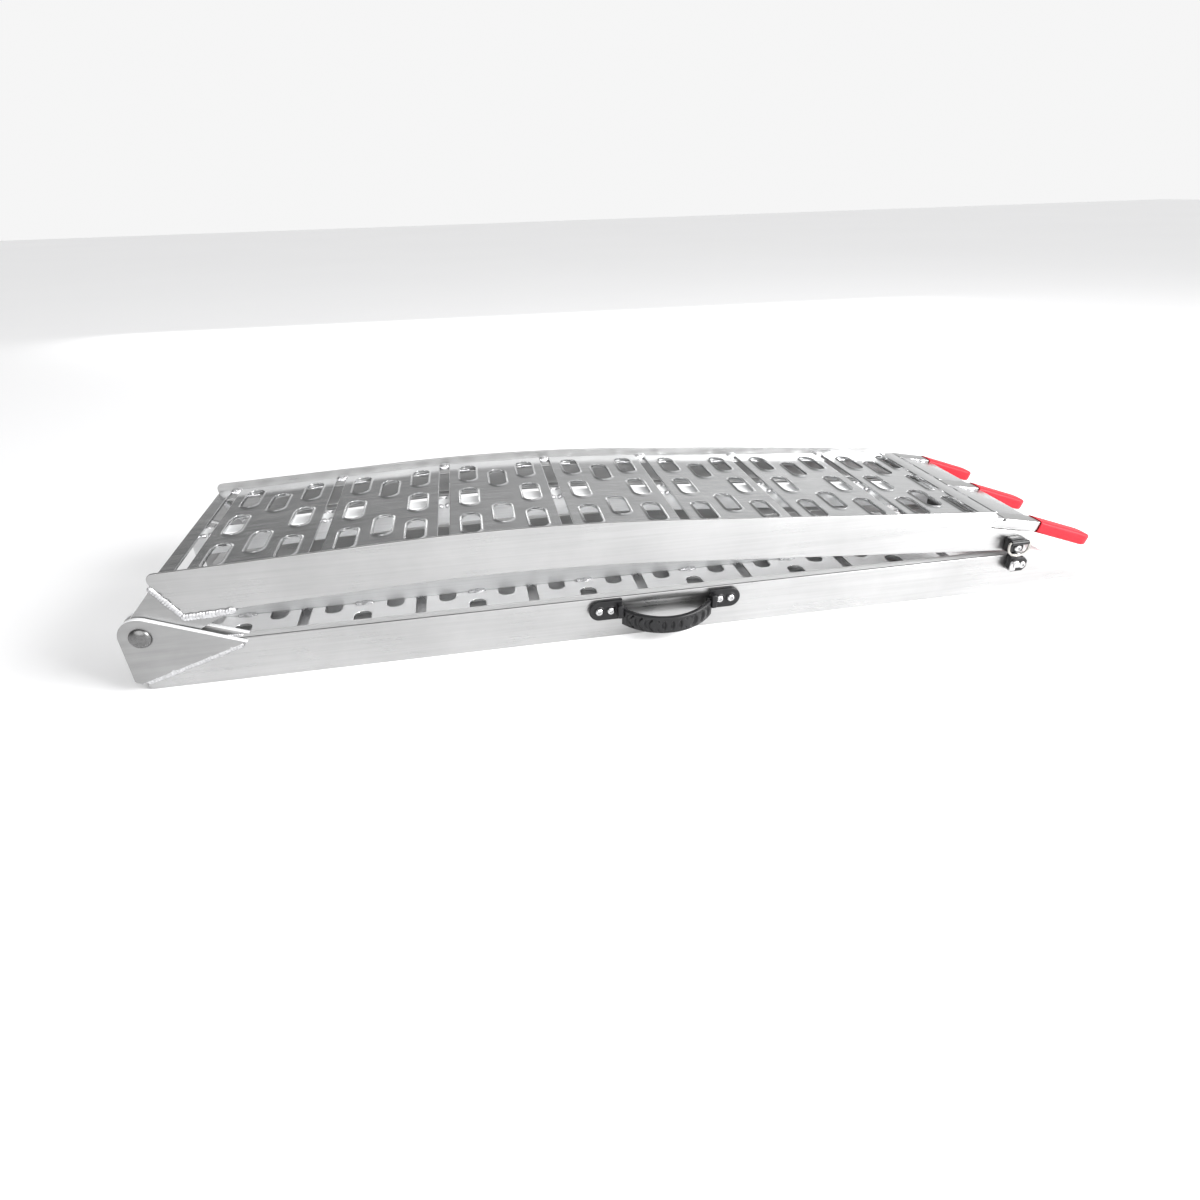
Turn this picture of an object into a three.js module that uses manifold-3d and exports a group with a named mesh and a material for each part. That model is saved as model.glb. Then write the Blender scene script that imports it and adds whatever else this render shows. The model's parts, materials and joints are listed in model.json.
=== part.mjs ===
// Folding arched loading ramp, folded for carrying. Millimetres, +Z up.
//
// Both halves are built deck up, in a section frame: X runs out from the hinge, Y runs across and Z is
// the distance from the hinge pins' axis towards the deck. The lower half is then turned upside down,
// so that its kerbs stand on the ground, and the upper half is tipped back by the fold slope.
import * as THREE from 'three';
import { mergeVertices } from 'three/addons/utils/BufferGeometryUtils.js';
import Module from 'manifold-3d';

const wasm = await Module();
wasm.setup();

// ---------------------------------------------------------------- driving dimensions

const GAP = 0.3; // between pieces that touch or are welded
const HALF_WIDTH = 140; // ramp centre line to a rail's outer face
const RAIL = { height: 52, kerb: 10, wall: 3.5, ledge: 28, ledgeThick: 3, flange: 15, flangeThick: 3.5 };
const TREAD_THICK = 3;
const PIVOT_DROP = 16.5; // pin axis to the rails' lower edge
const DECK_Z = PIVOT_DROP + RAIL.height - RAIL.kerb;
const FOLD_SLOPE = THREE.MathUtils.degToRad(2.4); // of the folded upper half at the hinge
const HOLE = { width: 21, length: 60, columnPitch: 38.5, outerRow: 88, staggeredRow: 62 };
const RIB = { width: 25, height: 25, wall: 2.5 };

const UPPER = {
  railStart: 25, endCornerRadius: 7, cutTop: 58, cutRun: 25,
  archStart: 266, archRadius: 2780, archLength: 321,
  firstSlot: 49.7, slotPitch: 140, slotWidth: 13, slots: 7, stripStart: 27,
  railEnd: 1054, lastTreadEnd: 991.5, crossbarStart: 995.5, crossbarEnd: 1015.5, lipStart: 1018,
  lastColumns: [{ x: -41, width: 21 }, { x: -9, width: 21 }, { x: 22, width: 12 }],
};
const LOWER = {
  railStart: -12, endCut: 32,
  firstSlot: 138.5, slotPitch: 143.7, slotWidth: 13, slots: 7,
  railEnd: 1135, taperStart: 1046, tipUnderside: 47.5, tipChamfer: 18, lastTreadEnd: 1118,
};

// Hinge, all at depths measured inwards from a rail's outer face
const PIN = { radius: 7, headRadius: 11.5, headHeight: 5, hole: 7.3 };
const OUTER_PLATE = { from: -6.3, to: -GAP, radius: 22.5, tipX: 104, tipZ: 18.5 };
const TONGUE = { from: 0.4, to: 8.4, radius: 19 };
const INNER_PLATE = { from: 8.8, to: 14.8, radius: 22.5, tipX: 103 };
const WASHER = { from: 15.1, to: 17.1, radius: 13 };
const NUT = { from: 17.4, to: 24.4, radius: 12.4 };
const PIN_END = 26.5;

// Lip and fingers at the loading end; slopes are from the deck, down towards the tips
const LIP = { slope: THREE.MathUtils.degToRad(8), length: 49, thick: 3 };
const FINGER = {
  rows: [-126, 0, 126], width: 24, thick: 13, slope: THREE.MathUtils.degToRad(6.5),
  rear: -19.5, step: -1.5, bend: 49.5, droop: THREE.MathUtils.degToRad(8.5),
  tongueThick: 9.5, tongueLength: 75,
};
const SLEEVE = { width: 28, thick: 16, start: 1, length: 88, edge: 1.5 };
const END_BEAM = { start: 27, end: 43, height: 19, halfWidth: 136 };

// Carrying handle on the near face of the lower half
const HANDLE = {
  pads: [{ end: 483, inner: 523, face: 1 }, { end: 668, inner: 630, face: -1 }],
  z: -30, padHalfHeight: 12.5, padThick: 6, knuckle: 6.7, knuckleDepth: 15, axisDepth: 9.5,
  bow: 25, gripThick: 5.5, gripHeight: 23, gripTop: 3.5, tilt: THREE.MathUtils.degToRad(9), trunnion: 3.5,
};
const SCREW = { radius: 2.9, headRadius: 4.8, headHeight: 3, hole: 3.2, length: 12, inset: 12, pitch: 14 };

// Latch at the loading end of the near rails
const LATCH = {
  depth: 9, left: 1016, right: 1038, bottom: -9, top: 10, knuckleZ: 5, knuckleDepth: 15, wire: 1.5,
  armLeft: 1015, armRight: 1042.5, bailBottom: -14, boltX: 1029.5, boltZ: -3.5,
};
const KEEPER = {
  left: 1024, right: 1049, bottom: -37, top: -18, stemRight: 1033, stemTop: -10.8,
  boltX: 1041.5, boltZ: -27.5,
  hookLeft: 1024.5, hookRight: 1032,
};

const ROUND = 24; // straight sides on a full circle
const HOLE_SIDES = 4; // straight sides on half of a deck hole's end

// ---------------------------------------------------------------- materials

function metal(colour, roughness) {
  return new THREE.MeshStandardMaterial({ color: colour, roughness, metalness: 0.9 });
}

function plastic(colour, roughness) {
  return new THREE.MeshStandardMaterial({ color: colour, roughness, metalness: 0 });
}

const FINISH = {
  rail: metal(0xd9dbdd, 0.38),
  tread: metal(0xb4b6b8, 0.32),
  plate: metal(0xc8cacc, 0.42),
  steel: metal(0x9fa1a4, 0.3),
  black: plastic(0x17181a, 0.5),
  red: plastic(0xe6384f, 0.45),
};

// ---------------------------------------------------------------- shapes and solids

function polygon(points) {
  return new THREE.Shape(points.map(([x, y]) => new THREE.Vector2(x, y)));
}

function circle(x, y, radius) {
  return new THREE.Shape().absarc(x, y, radius, 0, 2 * Math.PI);
}

function extrude(shape, depth, curveSegments = ROUND / 4, bevel = 0) {
  return new THREE.ExtrudeGeometry(shape, {
    depth: depth - 2 * bevel,
    curveSegments,
    bevelEnabled: bevel > 0,
    bevelSize: bevel,
    bevelOffset: -bevel,
    bevelThickness: bevel,
    bevelSegments: 2,
  }).translate(0, 0, bevel);
}

// A side-view shape, drawn in X and Z, running across from y0 to y1
function across(shape, y0, y1, curveSegments, bevel) {
  return extrude(shape, y1 - y0, curveSegments, bevel).rotateX(Math.PI / 2).translate(0, y1, 0);
}

// A plan shape, drawn in X and Y, standing from z0 to z1
function upright(shape, z0, z1, curveSegments, bevel) {
  return extrude(shape, z1 - z0, curveSegments, bevel).translate(0, 0, z0);
}

// A shape drawn in Y and Z, running along X from x0 to x1
function along(shape, x0, x1, curveSegments) {
  return extrude(shape, x1 - x0, curveSegments).rotateZ(Math.PI / 2).rotateY(Math.PI / 2).translate(x0, 0, 0);
}

function box(x0, x1, y0, y1, z0, z1) {
  return upright(polygon([[x0, y0], [x1, y0], [x1, y1], [x0, y1]]), z0, z1);
}

// A round bar across the ramp, from y0 to y1
function barAcross(x, z, radius, y0, y1, sides = ROUND) {
  const bar = new THREE.CylinderGeometry(radius, radius, y1 - y0, sides);
  return bar.translate(x, (y0 + y1) / 2, z);
}

function toSolid(geometry) {
  const bare = geometry.clone();
  bare.deleteAttribute('normal');
  bare.deleteAttribute('uv');
  const merged = mergeVertices(bare, 1e-3);
  return new wasm.Manifold(new wasm.Mesh({
    numProp: 3,
    vertProperties: new Float32Array(merged.attributes.position.array),
    triVerts: new Uint32Array(merged.index.array),
  }));
}

function toGeometry(solid) {
  const mesh = solid.getMesh();
  const geometry = new THREE.BufferGeometry();
  geometry.setAttribute('position', new THREE.BufferAttribute(mesh.vertProperties, 3));
  geometry.setIndex(new THREE.BufferAttribute(mesh.triVerts, 1));
  geometry.computeVertexNormals();
  return geometry;
}

function join(...geometries) {
  return toGeometry(geometries.map(toSolid).reduce((a, b) => a.add(b)));
}

function cut(geometry, ...tools) {
  return toGeometry(tools.map(toSolid).reduce((solid, tool) => solid.subtract(tool), toSolid(geometry)));
}

function addPiece(group, name, finish, geometry) {
  const mesh = new THREE.Mesh(geometry, FINISH[finish].clone());
  mesh.name = name;
  group.add(mesh);
  return mesh;
}

// From depths inside a rail's outer face to Y; side is +1 or -1
function depthToY(side, a, b) {
  const ends = [side * (HALF_WIDTH - a), side * (HALF_WIDTH - b)];
  return [Math.min(...ends), Math.max(...ends)];
}

// ---------------------------------------------------------------- the deck line

// Slope and place of the deck surface at a distance s along it. The arch only bends the upper half.
function deckAt(section, s) {
  const start = section.archStart ?? Infinity;
  if (s <= start) return { x: s, z: DECK_Z, slope: 0 };
  const { archRadius: radius, archLength: length } = section;
  const slope = Math.min(s - start, length) / radius;
  const past = Math.max(0, s - start - length);
  return {
    x: start + radius * Math.sin(slope) + past * Math.cos(slope),
    z: DECK_Z - radius * (1 - Math.cos(slope)) - past * Math.sin(slope),
    slope,
  };
}

function offDeck(section, s, height) {
  const { x, z, slope } = deckAt(section, s);
  return [x + height * Math.sin(slope), z + height * Math.cos(slope)];
}

// Moves a geometry drawn on a level deck at s = 0 to its place on the section's deck
function placeOnDeck(geometry, section, s, extraSlope = 0) {
  const { x, z, slope } = deckAt(section, s);
  return geometry.rotateY(slope + extraSlope).translate(x, 0, z);
}

// A strip that follows the deck line between two heights, running across from y0 to y1
function band(section, s0, s1, low, high, y0, y1) {
  const stations = [s0];
  if (section.archStart) {
    const steps = 10;
    for (let i = 0; i <= steps; i += 1) stations.push(section.archStart + (section.archLength * i) / steps);
  }
  stations.push(s1);
  const top = stations.map((s) => offDeck(section, s, high));
  const bottom = stations.map((s) => offDeck(section, s, low));
  return across(polygon([...bottom, ...top.reverse()]), y0, y1);
}

// ---------------------------------------------------------------- rails, treads and ribs

// Outer wall with its kerb, the ledge that the treads lie on, and the foot flange
function railBody(section, side) {
  const { kerb, height, wall, ledge, ledgeThick, flange, flangeThick } = RAIL;
  const foot = kerb - height;
  const ledgeTop = -TREAD_THICK - GAP;
  const { railStart: s0, railEnd: s1 } = section;
  return join(
    band(section, s0, s1, foot, kerb, ...depthToY(side, 0, wall)),
    band(section, s0, s1, ledgeTop - ledgeThick, ledgeTop, ...depthToY(side, 0, ledge)),
    band(section, s0, s1, foot, foot + flangeThick, ...depthToY(side, 0, flange)),
  );
}

// Everything outside a rounded kerb corner at the hinge end, down to a slanting end cut
function hingeEndWaste(section, cutTop, cutRun) {
  const { railStart: x, endCornerRadius: r } = section;
  const top = DECK_Z + RAIL.kerb;
  const shape = new THREE.Shape();
  shape.moveTo(x - 40, PIVOT_DROP - 5);
  shape.lineTo(x + cutRun * (1 + 5 / (cutTop - PIVOT_DROP)), PIVOT_DROP - 5);
  shape.lineTo(x, cutTop);
  shape.lineTo(x, top - r);
  shape.absarc(x + r, top - r, r, Math.PI, Math.PI / 2, true);
  shape.lineTo(x + r, top + 5);
  shape.lineTo(x - 40, top + 5);
  return across(shape, -HALF_WIDTH - 5, HALF_WIDTH + 5);
}

function screwHoles(points, side, depth, radius = SCREW.hole) {
  return points.map(([x, z]) => barAcross(x, z, radius, ...depthToY(side, -5, depth), 12));
}

// Everything outside the latch end: round the end of the kerb, then under the finger and down
function latchEndWaste() {
  const kerb = RAIL.kerb;
  const shape = new THREE.Shape();
  shape.moveTo(-24.5, kerb + 5);
  shape.lineTo(-24.5, kerb);
  shape.absarc(-24.5, 0, kerb, Math.PI / 2, 0, true);
  const underside = [[-14.5, -6], [23, -17.2], [28, -26.5], [35.5, -30], [36, -45]];
  [...underside, [60, -45], [60, kerb + 5]].forEach((point) => {
    shape.lineTo(...point);
  });
  shape.closePath();
  return placeOnDeck(across(shape, -HALF_WIDTH - 5, HALF_WIDTH + 5), UPPER, UPPER.lipStart);
}

function upperRail(side, extraTools) {
  const finger = across(fingerOutline(GAP), -HALF_WIDTH - 5, HALF_WIDTH + 5);
  return cut(
    railBody(UPPER, side),
    hingeEndWaste(UPPER, UPPER.cutTop, UPPER.cutRun),
    latchEndWaste(),
    placeOnDeck(finger, UPPER, UPPER.lipStart, FINGER.slope),
    ...extraTools,
  );
}

// The lower half's rail: cut back at the hinge for the tongues, tapered to meet the ground
function lowerRail(side, extraTools) {
  const top = DECK_Z + RAIL.kerb;
  const { railStart: x0, endCut, railEnd: x1, taperStart, tipUnderside, tipChamfer } = LOWER;
  const reach = [-HALF_WIDTH - 5, HALF_WIDTH + 5];
  const hingeCut = polygon([[x0 - 5, endCut - x0 + 5], [x0 - 5, 0], [endCut, 0]]);
  const taper = new THREE.Shape();
  taper.moveTo(taperStart, PIVOT_DROP);
  taper.quadraticCurveTo((taperStart + x1) / 2 + 8, PIVOT_DROP + 6, x1, tipUnderside);
  taper.lineTo(x1 + 5, tipUnderside);
  taper.lineTo(x1 + 5, 0);
  taper.lineTo(taperStart, 0);
  const chamfer = polygon([[x1 - tipChamfer, top + 0.1], [x1 + 0.1, top - 6], [x1 + 0.1, top + 0.1]]);
  return cut(
    railBody(LOWER, side),
    across(hingeCut, ...reach),
    across(taper, ...reach),
    across(chamfer, ...reach),
    ...extraTools,
  );
}

function obround(x, y, width) {
  const r = width / 2;
  const half = HOLE.length / 2 - r;
  const path = new THREE.Path();
  path.absarc(x, y + half, r, 0, Math.PI);
  path.absarc(x, y - half, r, Math.PI, 2 * Math.PI);
  path.closePath();
  return path;
}

// Plan of one tread, centred on its first hole column's bay; columns go out as room allows
function treadPlan(from, to, columns) {
  const half = HALF_WIDTH - RAIL.wall - GAP;
  const plan = polygon([[from, -half], [to, -half], [to, half], [from, half]]);
  const rows = [[-HOLE.outerRow, 0, HOLE.outerRow], [-HOLE.staggeredRow, HOLE.staggeredRow]];
  columns.forEach(({ x, width }, i) => rows[i % 2].forEach((y) => plan.holes.push(obround(x, y, width))));
  return upright(plan, -TREAD_THICK, 0, HOLE_SIDES);
}

// The hole columns, measured from a bay's middle, that fit between a tread's ends
function holeColumns(from, to) {
  const solidEdge = HOLE.width / 2 + 4;
  return [-1, 0, 1]
    .map((c) => ({ x: c * HOLE.columnPitch, width: HOLE.width }))
    .filter(({ x }) => x - solidEdge > from && x + solidEdge < to);
}

// Treads of one section, from its hinge end to its loading or ground end, as [name, geometry] pairs
function treads(section, label, from, to) {
  const { firstSlot, slotPitch, slotWidth, slots } = section;
  const list = [];
  for (let bay = 0; bay <= slots; bay += 1) {
    const middle = firstSlot + (bay - 0.5) * slotPitch;
    const start = bay === 0 ? from : middle - (slotPitch - slotWidth) / 2;
    const end = bay === slots ? to : middle + (slotPitch - slotWidth) / 2;
    const special = bay === slots && section.lastColumns;
    const columns = special || holeColumns(start - middle, end - middle);
    const plan = treadPlan(start - middle, end - middle, columns);
    list.push([`${label}_tread_${bay}`, placeOnDeck(plan, section, middle)]);
  }
  return list;
}

// Square tube under the treads, on the ramp's centre line
function centreRib(section, s0, s1) {
  const top = -TREAD_THICK - GAP;
  const half = RIB.width / 2;
  const wall = RIB.wall;
  return cut(
    band(section, s0, s1, top - RIB.height, top, -half, half),
    band(section, s0 - 5, s1 + 5, top - RIB.height + wall, top - wall, wall - half, half - wall),
  );
}

// ---------------------------------------------------------------- hinge

// Round the pin axis, then straight to a tip: the outline of a hinge plate in a side view.
// from is the angle where the round starts; the round then turns clockwise to the tangent to the tip.
function plateOutline(radius, tip, corners, startAngle) {
  const distance = Math.hypot(...tip);
  const tangent = Math.atan2(tip[1], tip[0]) - Math.acos(radius / distance);
  const shape = new THREE.Shape();
  shape.moveTo(...tip);
  corners.forEach((corner) => shape.lineTo(...corner));
  shape.absarc(0, 0, radius, startAngle, tangent, false);
  shape.closePath();
  return shape;
}

function drilled(geometry) {
  const y = HALF_WIDTH + 20;
  return cut(geometry, barAcross(0, 0, PIN.hole, -y, y));
}

function outerPlate(side) {
  const { radius, tipX, tipZ, from, to } = OUTER_PLATE;
  const corners = [[-14, 57], [-radius + 1, 54]];
  const shape = plateOutline(radius, [tipX, tipZ], corners, Math.PI);
  return drilled(across(shape, ...depthToY(side, from, to)));
}

function innerPlate(side) {
  const { radius, tipX, from, to } = INNER_PLATE;
  const foot = PIVOT_DROP - GAP;
  const heel = Math.sqrt(radius * radius - foot * foot);
  const shape = plateOutline(radius, [tipX, foot], [[heel, foot]], Math.atan2(foot, heel));
  return drilled(across(shape, ...depthToY(side, from, to)));
}

// Welded to the slanting end and the foot of the upper rail, and turning between the lower half's plates
function tongue(side) {
  const { radius, from, to } = TONGUE;
  const { railStart: x, cutTop, cutRun } = UPPER;
  const steep = (cutTop - PIVOT_DROP) / cutRun;
  const seam = GAP * 1.2;
  const onCut = (z) => x + (cutTop - z) / steep - seam;
  const diagonal = radius * Math.SQRT2;
  const topZ = (x + cutTop / steep - seam + diagonal) / (1 + 1 / steep);
  const shape = new THREE.Shape();
  shape.moveTo(101, PIVOT_DROP - GAP);
  shape.lineTo(onCut(PIVOT_DROP - GAP), PIVOT_DROP - GAP);
  shape.lineTo(onCut(topZ), topZ);
  shape.absarc(0, 0, radius, (3 * Math.PI) / 4, (3 * Math.PI) / 2 + 0.28, false);
  shape.lineTo(57.5, -2.9);
  shape.closePath();
  return drilled(across(shape, ...depthToY(side, from, to)));
}

// Lathe profiles turn about Y; outwards is towards the ramp's side
function turned(profile, side) {
  const shape = profile.map(([radius, depth]) => new THREE.Vector2(radius, depth));
  const geometry = new THREE.LatheGeometry(shape, ROUND);
  if (side > 0) return geometry.rotateX(Math.PI).translate(0, HALF_WIDTH, 0);
  return geometry.translate(0, -HALF_WIDTH, 0);
}

function hingePin(side) {
  const { radius, headRadius, headHeight } = PIN;
  const seat = OUTER_PLATE.from - GAP;
  const dome = [];
  const steps = 5;
  for (let i = 0; i <= steps; i += 1) {
    const angle = ((Math.PI / 2) * i) / steps;
    dome.push([headRadius * Math.sin(angle), seat - headHeight * Math.cos(angle)]);
  }
  return turned([...dome, [radius, seat], [radius, PIN_END - 1], [radius - 1, PIN_END], [0, PIN_END]], side);
}

function ring(inner, outer, from, to, side) {
  return turned([[inner, from], [outer, from], [outer, to], [inner, to], [inner, from]], side);
}

function hexNut(side) {
  const hexagon = new THREE.Shape();
  for (let i = 0; i < 6; i += 1) {
    const angle = (Math.PI / 3) * i;
    const point = [NUT.radius * Math.cos(angle), NUT.radius * Math.sin(angle)];
    if (i === 0) hexagon.moveTo(...point);
    else hexagon.lineTo(...point);
  }
  return drilled(across(hexagon, ...depthToY(side, NUT.from, NUT.to)));
}

// ---------------------------------------------------------------- lip, fingers and end beam

// Side view of a finger bar, X down its slope from the lip's inner edge: stepped and rounded at the
// rear to lie under the crossbar, thinner and bent down past the lip
function fingerOutline(margin = 0) {
  const { rear, step, bend, droop, thick, slope, tongueThick, tongueLength } = FINGER;
  const underCrossbar = (x) => x * Math.tan(slope) - (TREAD_THICK + GAP) / Math.cos(slope) + margin;
  const bottom = -thick - margin;
  const inset = (thick - tongueThick) / 2;
  const [cos, sin] = [Math.cos(droop), Math.sin(droop)];
  const turn = (u, v) => [bend + u * cos + v * sin, v * cos - u * sin];
  const r = (underCrossbar(rear) - bottom) / 2;
  const shape = new THREE.Shape();
  shape.moveTo(...turn(0, margin));
  shape.lineTo(step - margin, margin);
  shape.lineTo(step - margin, underCrossbar(step));
  shape.lineTo(rear - margin + r, underCrossbar(rear));
  shape.absarc(rear - margin + r, bottom + r, r, Math.PI / 2, (3 * Math.PI) / 2, false);
  shape.lineTo(...turn(0, bottom));
  shape.lineTo(...turn(0, inset - thick - margin));
  shape.lineTo(...turn(tongueLength + margin, inset - thick - margin));
  shape.lineTo(...turn(tongueLength + margin, margin - inset));
  shape.lineTo(...turn(0, margin - inset));
  shape.closePath();
  return shape;
}

function fingerBar(y, margin = 0) {
  const half = FINGER.width / 2 + margin;
  return placeOnDeck(across(fingerOutline(margin), y - half, y + half), UPPER, UPPER.lipStart, FINGER.slope);
}

// Soft cap over a finger: a flat tongue with a round tip and a pocket for the bar
function fingerSleeve(y) {
  const { width, thick, start, length, edge } = SLEEVE;
  const half = width / 2;
  const plan = new THREE.Shape();
  plan.moveTo(start, -half);
  plan.lineTo(length - half, -half);
  plan.absarc(length - half, 0, half, -Math.PI / 2, Math.PI / 2, false);
  plan.lineTo(start, half);
  plan.closePath();
  const middle = -FINGER.thick / 2;
  const body = upright(plan, middle - thick / 2, middle + thick / 2, ROUND / 3, edge);
  body.rotateY(FINGER.droop).translate(FINGER.bend, y, 0);
  return cut(placeOnDeck(body, UPPER, UPPER.lipStart, FINGER.slope), fingerBar(y, GAP));
}

// The lip fills the space between two fingers
function lipPlate(fingerA, fingerB) {
  const clear = FINGER.width / 2 + GAP;
  const plate = box(0, LIP.length, fingerA + clear, fingerB - clear, -LIP.thick, 0);
  return placeOnDeck(plate, UPPER, UPPER.lipStart, LIP.slope);
}

function crossbar() {
  const { crossbarStart: from, crossbarEnd: to } = UPPER;
  const half = HALF_WIDTH - RAIL.wall - GAP;
  return placeOnDeck(box(0, to - from, -half, half, -TREAD_THICK, 0), UPPER, from);
}

// Box beam under the fingers, between the rails
function endBeam() {
  const { start, end, height, halfWidth } = END_BEAM;
  const top = -FINGER.thick - GAP;
  const bar = box(start, end, -halfWidth, halfWidth, top - height, top);
  return placeOnDeck(bar, UPPER, UPPER.lipStart, FINGER.slope);
}

// ---------------------------------------------------------------- ground end of the lower half

// Bent plate between the rails that follows their taper and meets the ground
function groundPlate() {
  const half = HALF_WIDTH - RAIL.wall - GAP;
  const thick = 3.5;
  const line = [[LOWER.taperStart + 16, 22.4], [LOWER.taperStart + 50, 30.3], [LOWER.railEnd - 4, 45.7]];
  const outline = [...line, ...line.map(([x, z]) => [x - 0.8, z + thick]).reverse()];
  return across(polygon(outline.reverse()), -half, half);
}

// ---------------------------------------------------------------- carrying handle

// Near side, in the folded ramp's own frame: depth is measured out from the rail's face
function outwards(from, to) {
  return [-HALF_WIDTH - to, -HALF_WIDTH - from];
}

function screwPoints(pad) {
  return [0, 1].map((i) => [pad.end + pad.face * (SCREW.inset + i * SCREW.pitch), HANDLE.z]);
}

function handlePad(pad) {
  const { z, padHalfHeight: r, padThick, knuckle, knuckleDepth, axisDepth, trunnion } = HANDLE;
  const plate = new THREE.Shape();
  const centre = pad.end + pad.face * r;
  const turn = pad.face > 0;
  plate.moveTo(centre, z + r);
  plate.absarc(centre, z, r, Math.PI / 2, (3 * Math.PI) / 2, !turn);
  plate.lineTo(pad.inner, z - r);
  plate.lineTo(pad.inner, z + r);
  plate.closePath();
  const [x0, x1] = [pad.inner - pad.face * knuckle, pad.inner].sort((a, b) => a - b);
  const side = polygon([[x0, z - 8], [x1, z - 8], [x1, z + 9], [x0, z + 9]]);
  const block = across(side, ...outwards(GAP, knuckleDepth));
  const socket = new THREE.CylinderGeometry(trunnion + GAP, trunnion + GAP, 18, 12).rotateZ(Math.PI / 2);
  socket.translate(pad.inner, -HALF_WIDTH - axisDepth, z);
  const through = outwards(-5, padThick + 5);
  const holes = screwPoints(pad).map(([x, h]) => barAcross(x, h, SCREW.hole, ...through, 12));
  return cut(join(across(plate, ...outwards(GAP, padThick)), block), socket, ...holes);
}

// Bowed strap with a trunnion at each end, hanging against the rail
function handleGrip() {
  const { pads, z, bow, gripThick, gripHeight, gripTop, axisDepth, tilt, trunnion } = HANDLE;
  const clearance = 0.6;
  const x0 = pads[0].inner + clearance;
  const x1 = pads[1].inner - clearance;
  const halfSpan = (x1 - x0) / 2;
  const radius = (halfSpan * halfSpan + bow * bow) / (2 * bow);
  const centre = [(x0 + x1) / 2, radius - bow];
  const sweep = Math.asin(halfSpan / radius);
  const shape = new THREE.Shape();
  const [from, to] = [-Math.PI / 2 - sweep, -Math.PI / 2 + sweep];
  shape.absarc(...centre, radius + gripThick / 2, from, to, false);
  shape.absarc(...centre, radius - gripThick / 2, to, from, true);
  shape.closePath();
  const strap = upright(shape, gripTop - gripHeight, gripTop, ROUND / 2);
  const trim = (a, b) => box(a, b, -60, 60, -60, 60);
  const ends = [[x0 - 6.5, x0 + 6], [x1 - 6, x1 + 6.5]].map(([a, b]) => (
    new THREE.CylinderGeometry(trunnion, trunnion, b - a, 12)
      .rotateZ(Math.PI / 2)
      .translate((a + b) / 2, 0, 0)
  ));
  const body = cut(strap, trim(x0 - 20, x0), trim(x1, x1 + 20));
  return join(body, ...ends).rotateX(tilt).translate(0, -HALF_WIDTH - axisDepth, z);
}

// Domed head against the outer face, shank through to the inside
function screw(x, z, seat, length = SCREW.length) {
  const { radius, headRadius, headHeight } = SCREW;
  const shoulder = [headRadius * 0.9, -headHeight * 0.45];
  const profile = [[0, -headHeight], [headRadius * 0.55, -headHeight * 0.85], shoulder];
  profile.push([headRadius, 0], [radius, 0], [radius, length], [0, length]);
  const points = profile.map(([r, d]) => new THREE.Vector2(r, d));
  return new THREE.LatheGeometry(points, 12).translate(x, -HALF_WIDTH - seat, z);
}

// ---------------------------------------------------------------- latch

function latchBase() {
  const { left, right, bottom, top, depth, knuckleZ, knuckleDepth, wire, boltX, boltZ } = LATCH;
  const r = 3;
  const face = new THREE.Shape();
  face.moveTo(left + r, bottom);
  face.lineTo(right, bottom);
  face.lineTo(right, top - r);
  face.absarc(right - r, top - r, r, 0, Math.PI / 2, false);
  face.absarc(left + r, top - r, r, Math.PI / 2, Math.PI, false);
  face.absarc(left + r, bottom + r, r, Math.PI, (3 * Math.PI) / 2, false);
  face.closePath();
  const [y0, y1] = outwards(depth - 1, knuckleDepth);
  const knuckle = box(LATCH.armLeft + 2.2, LATCH.armRight - 2.2, y0, y1, knuckleZ - 3.2, knuckleZ + 3.2);
  const eye = new THREE.CylinderGeometry(wire + GAP, wire + GAP, 60, 12).rotateZ(Math.PI / 2);
  eye.translate((LATCH.armLeft + LATCH.armRight) / 2, bailAxis().y, knuckleZ);
  const bolt = barAcross(boltX, boltZ, SCREW.hole, ...outwards(-5, depth + 5), 12);
  return cut(join(across(face, ...outwards(GAP, depth)), knuckle), eye, bolt);
}

function bailAxis() {
  return { y: -HALF_WIDTH - LATCH.knuckleDepth + 3, z: LATCH.knuckleZ };
}

// Wire loop that hangs in front of the latch base
function latchBail() {
  const { armLeft, armRight, bailBottom, wire, knuckleZ } = LATCH;
  const { y } = bailAxis();
  const low = bailBottom + wire;
  const bend = 8;
  const corner = 1.6;
  const middle = (armLeft + armRight) / 2;
  const route = [
    [armLeft + 5, y, knuckleZ], [armLeft + corner, y, knuckleZ], [armLeft, y, knuckleZ - corner],
    [armLeft, y, low + bend], [armLeft + bend * 0.3, y, low + bend * 0.3], [armLeft + bend, y, low],
    [middle, y, low],
    [armRight - bend, y, low], [armRight - bend * 0.3, y, low + bend * 0.3], [armRight, y, low + bend],
    [armRight, y, knuckleZ - corner], [armRight - corner, y, knuckleZ], [armRight - 5, y, knuckleZ],
  ].map((point) => new THREE.Vector3(...point));
  const smooth = new THREE.CatmullRomCurve3(route, false, 'centripetal');
  return new THREE.ExtrudeGeometry(circle(0, 0, wire), { steps: 44, curveSegments: 4, extrudePath: smooth });
}

function keeperBase() {
  const { left, right, bottom, top, stemRight, stemTop, boltX, boltZ } = KEEPER;
  const face = polygon([
    [left, bottom + 5], [left + 5, bottom], [right - 5, bottom], [right, bottom + 5], [right, top - 5],
    [right - 5, top], [stemRight, top], [stemRight, stemTop], [left, stemTop],
  ]);
  const hole = barAcross(boltX, boltZ, SCREW.hole, ...outwards(-5, LATCH.depth + 5), 12);
  return cut(across(face, ...outwards(GAP, LATCH.depth)), hole);
}

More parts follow.
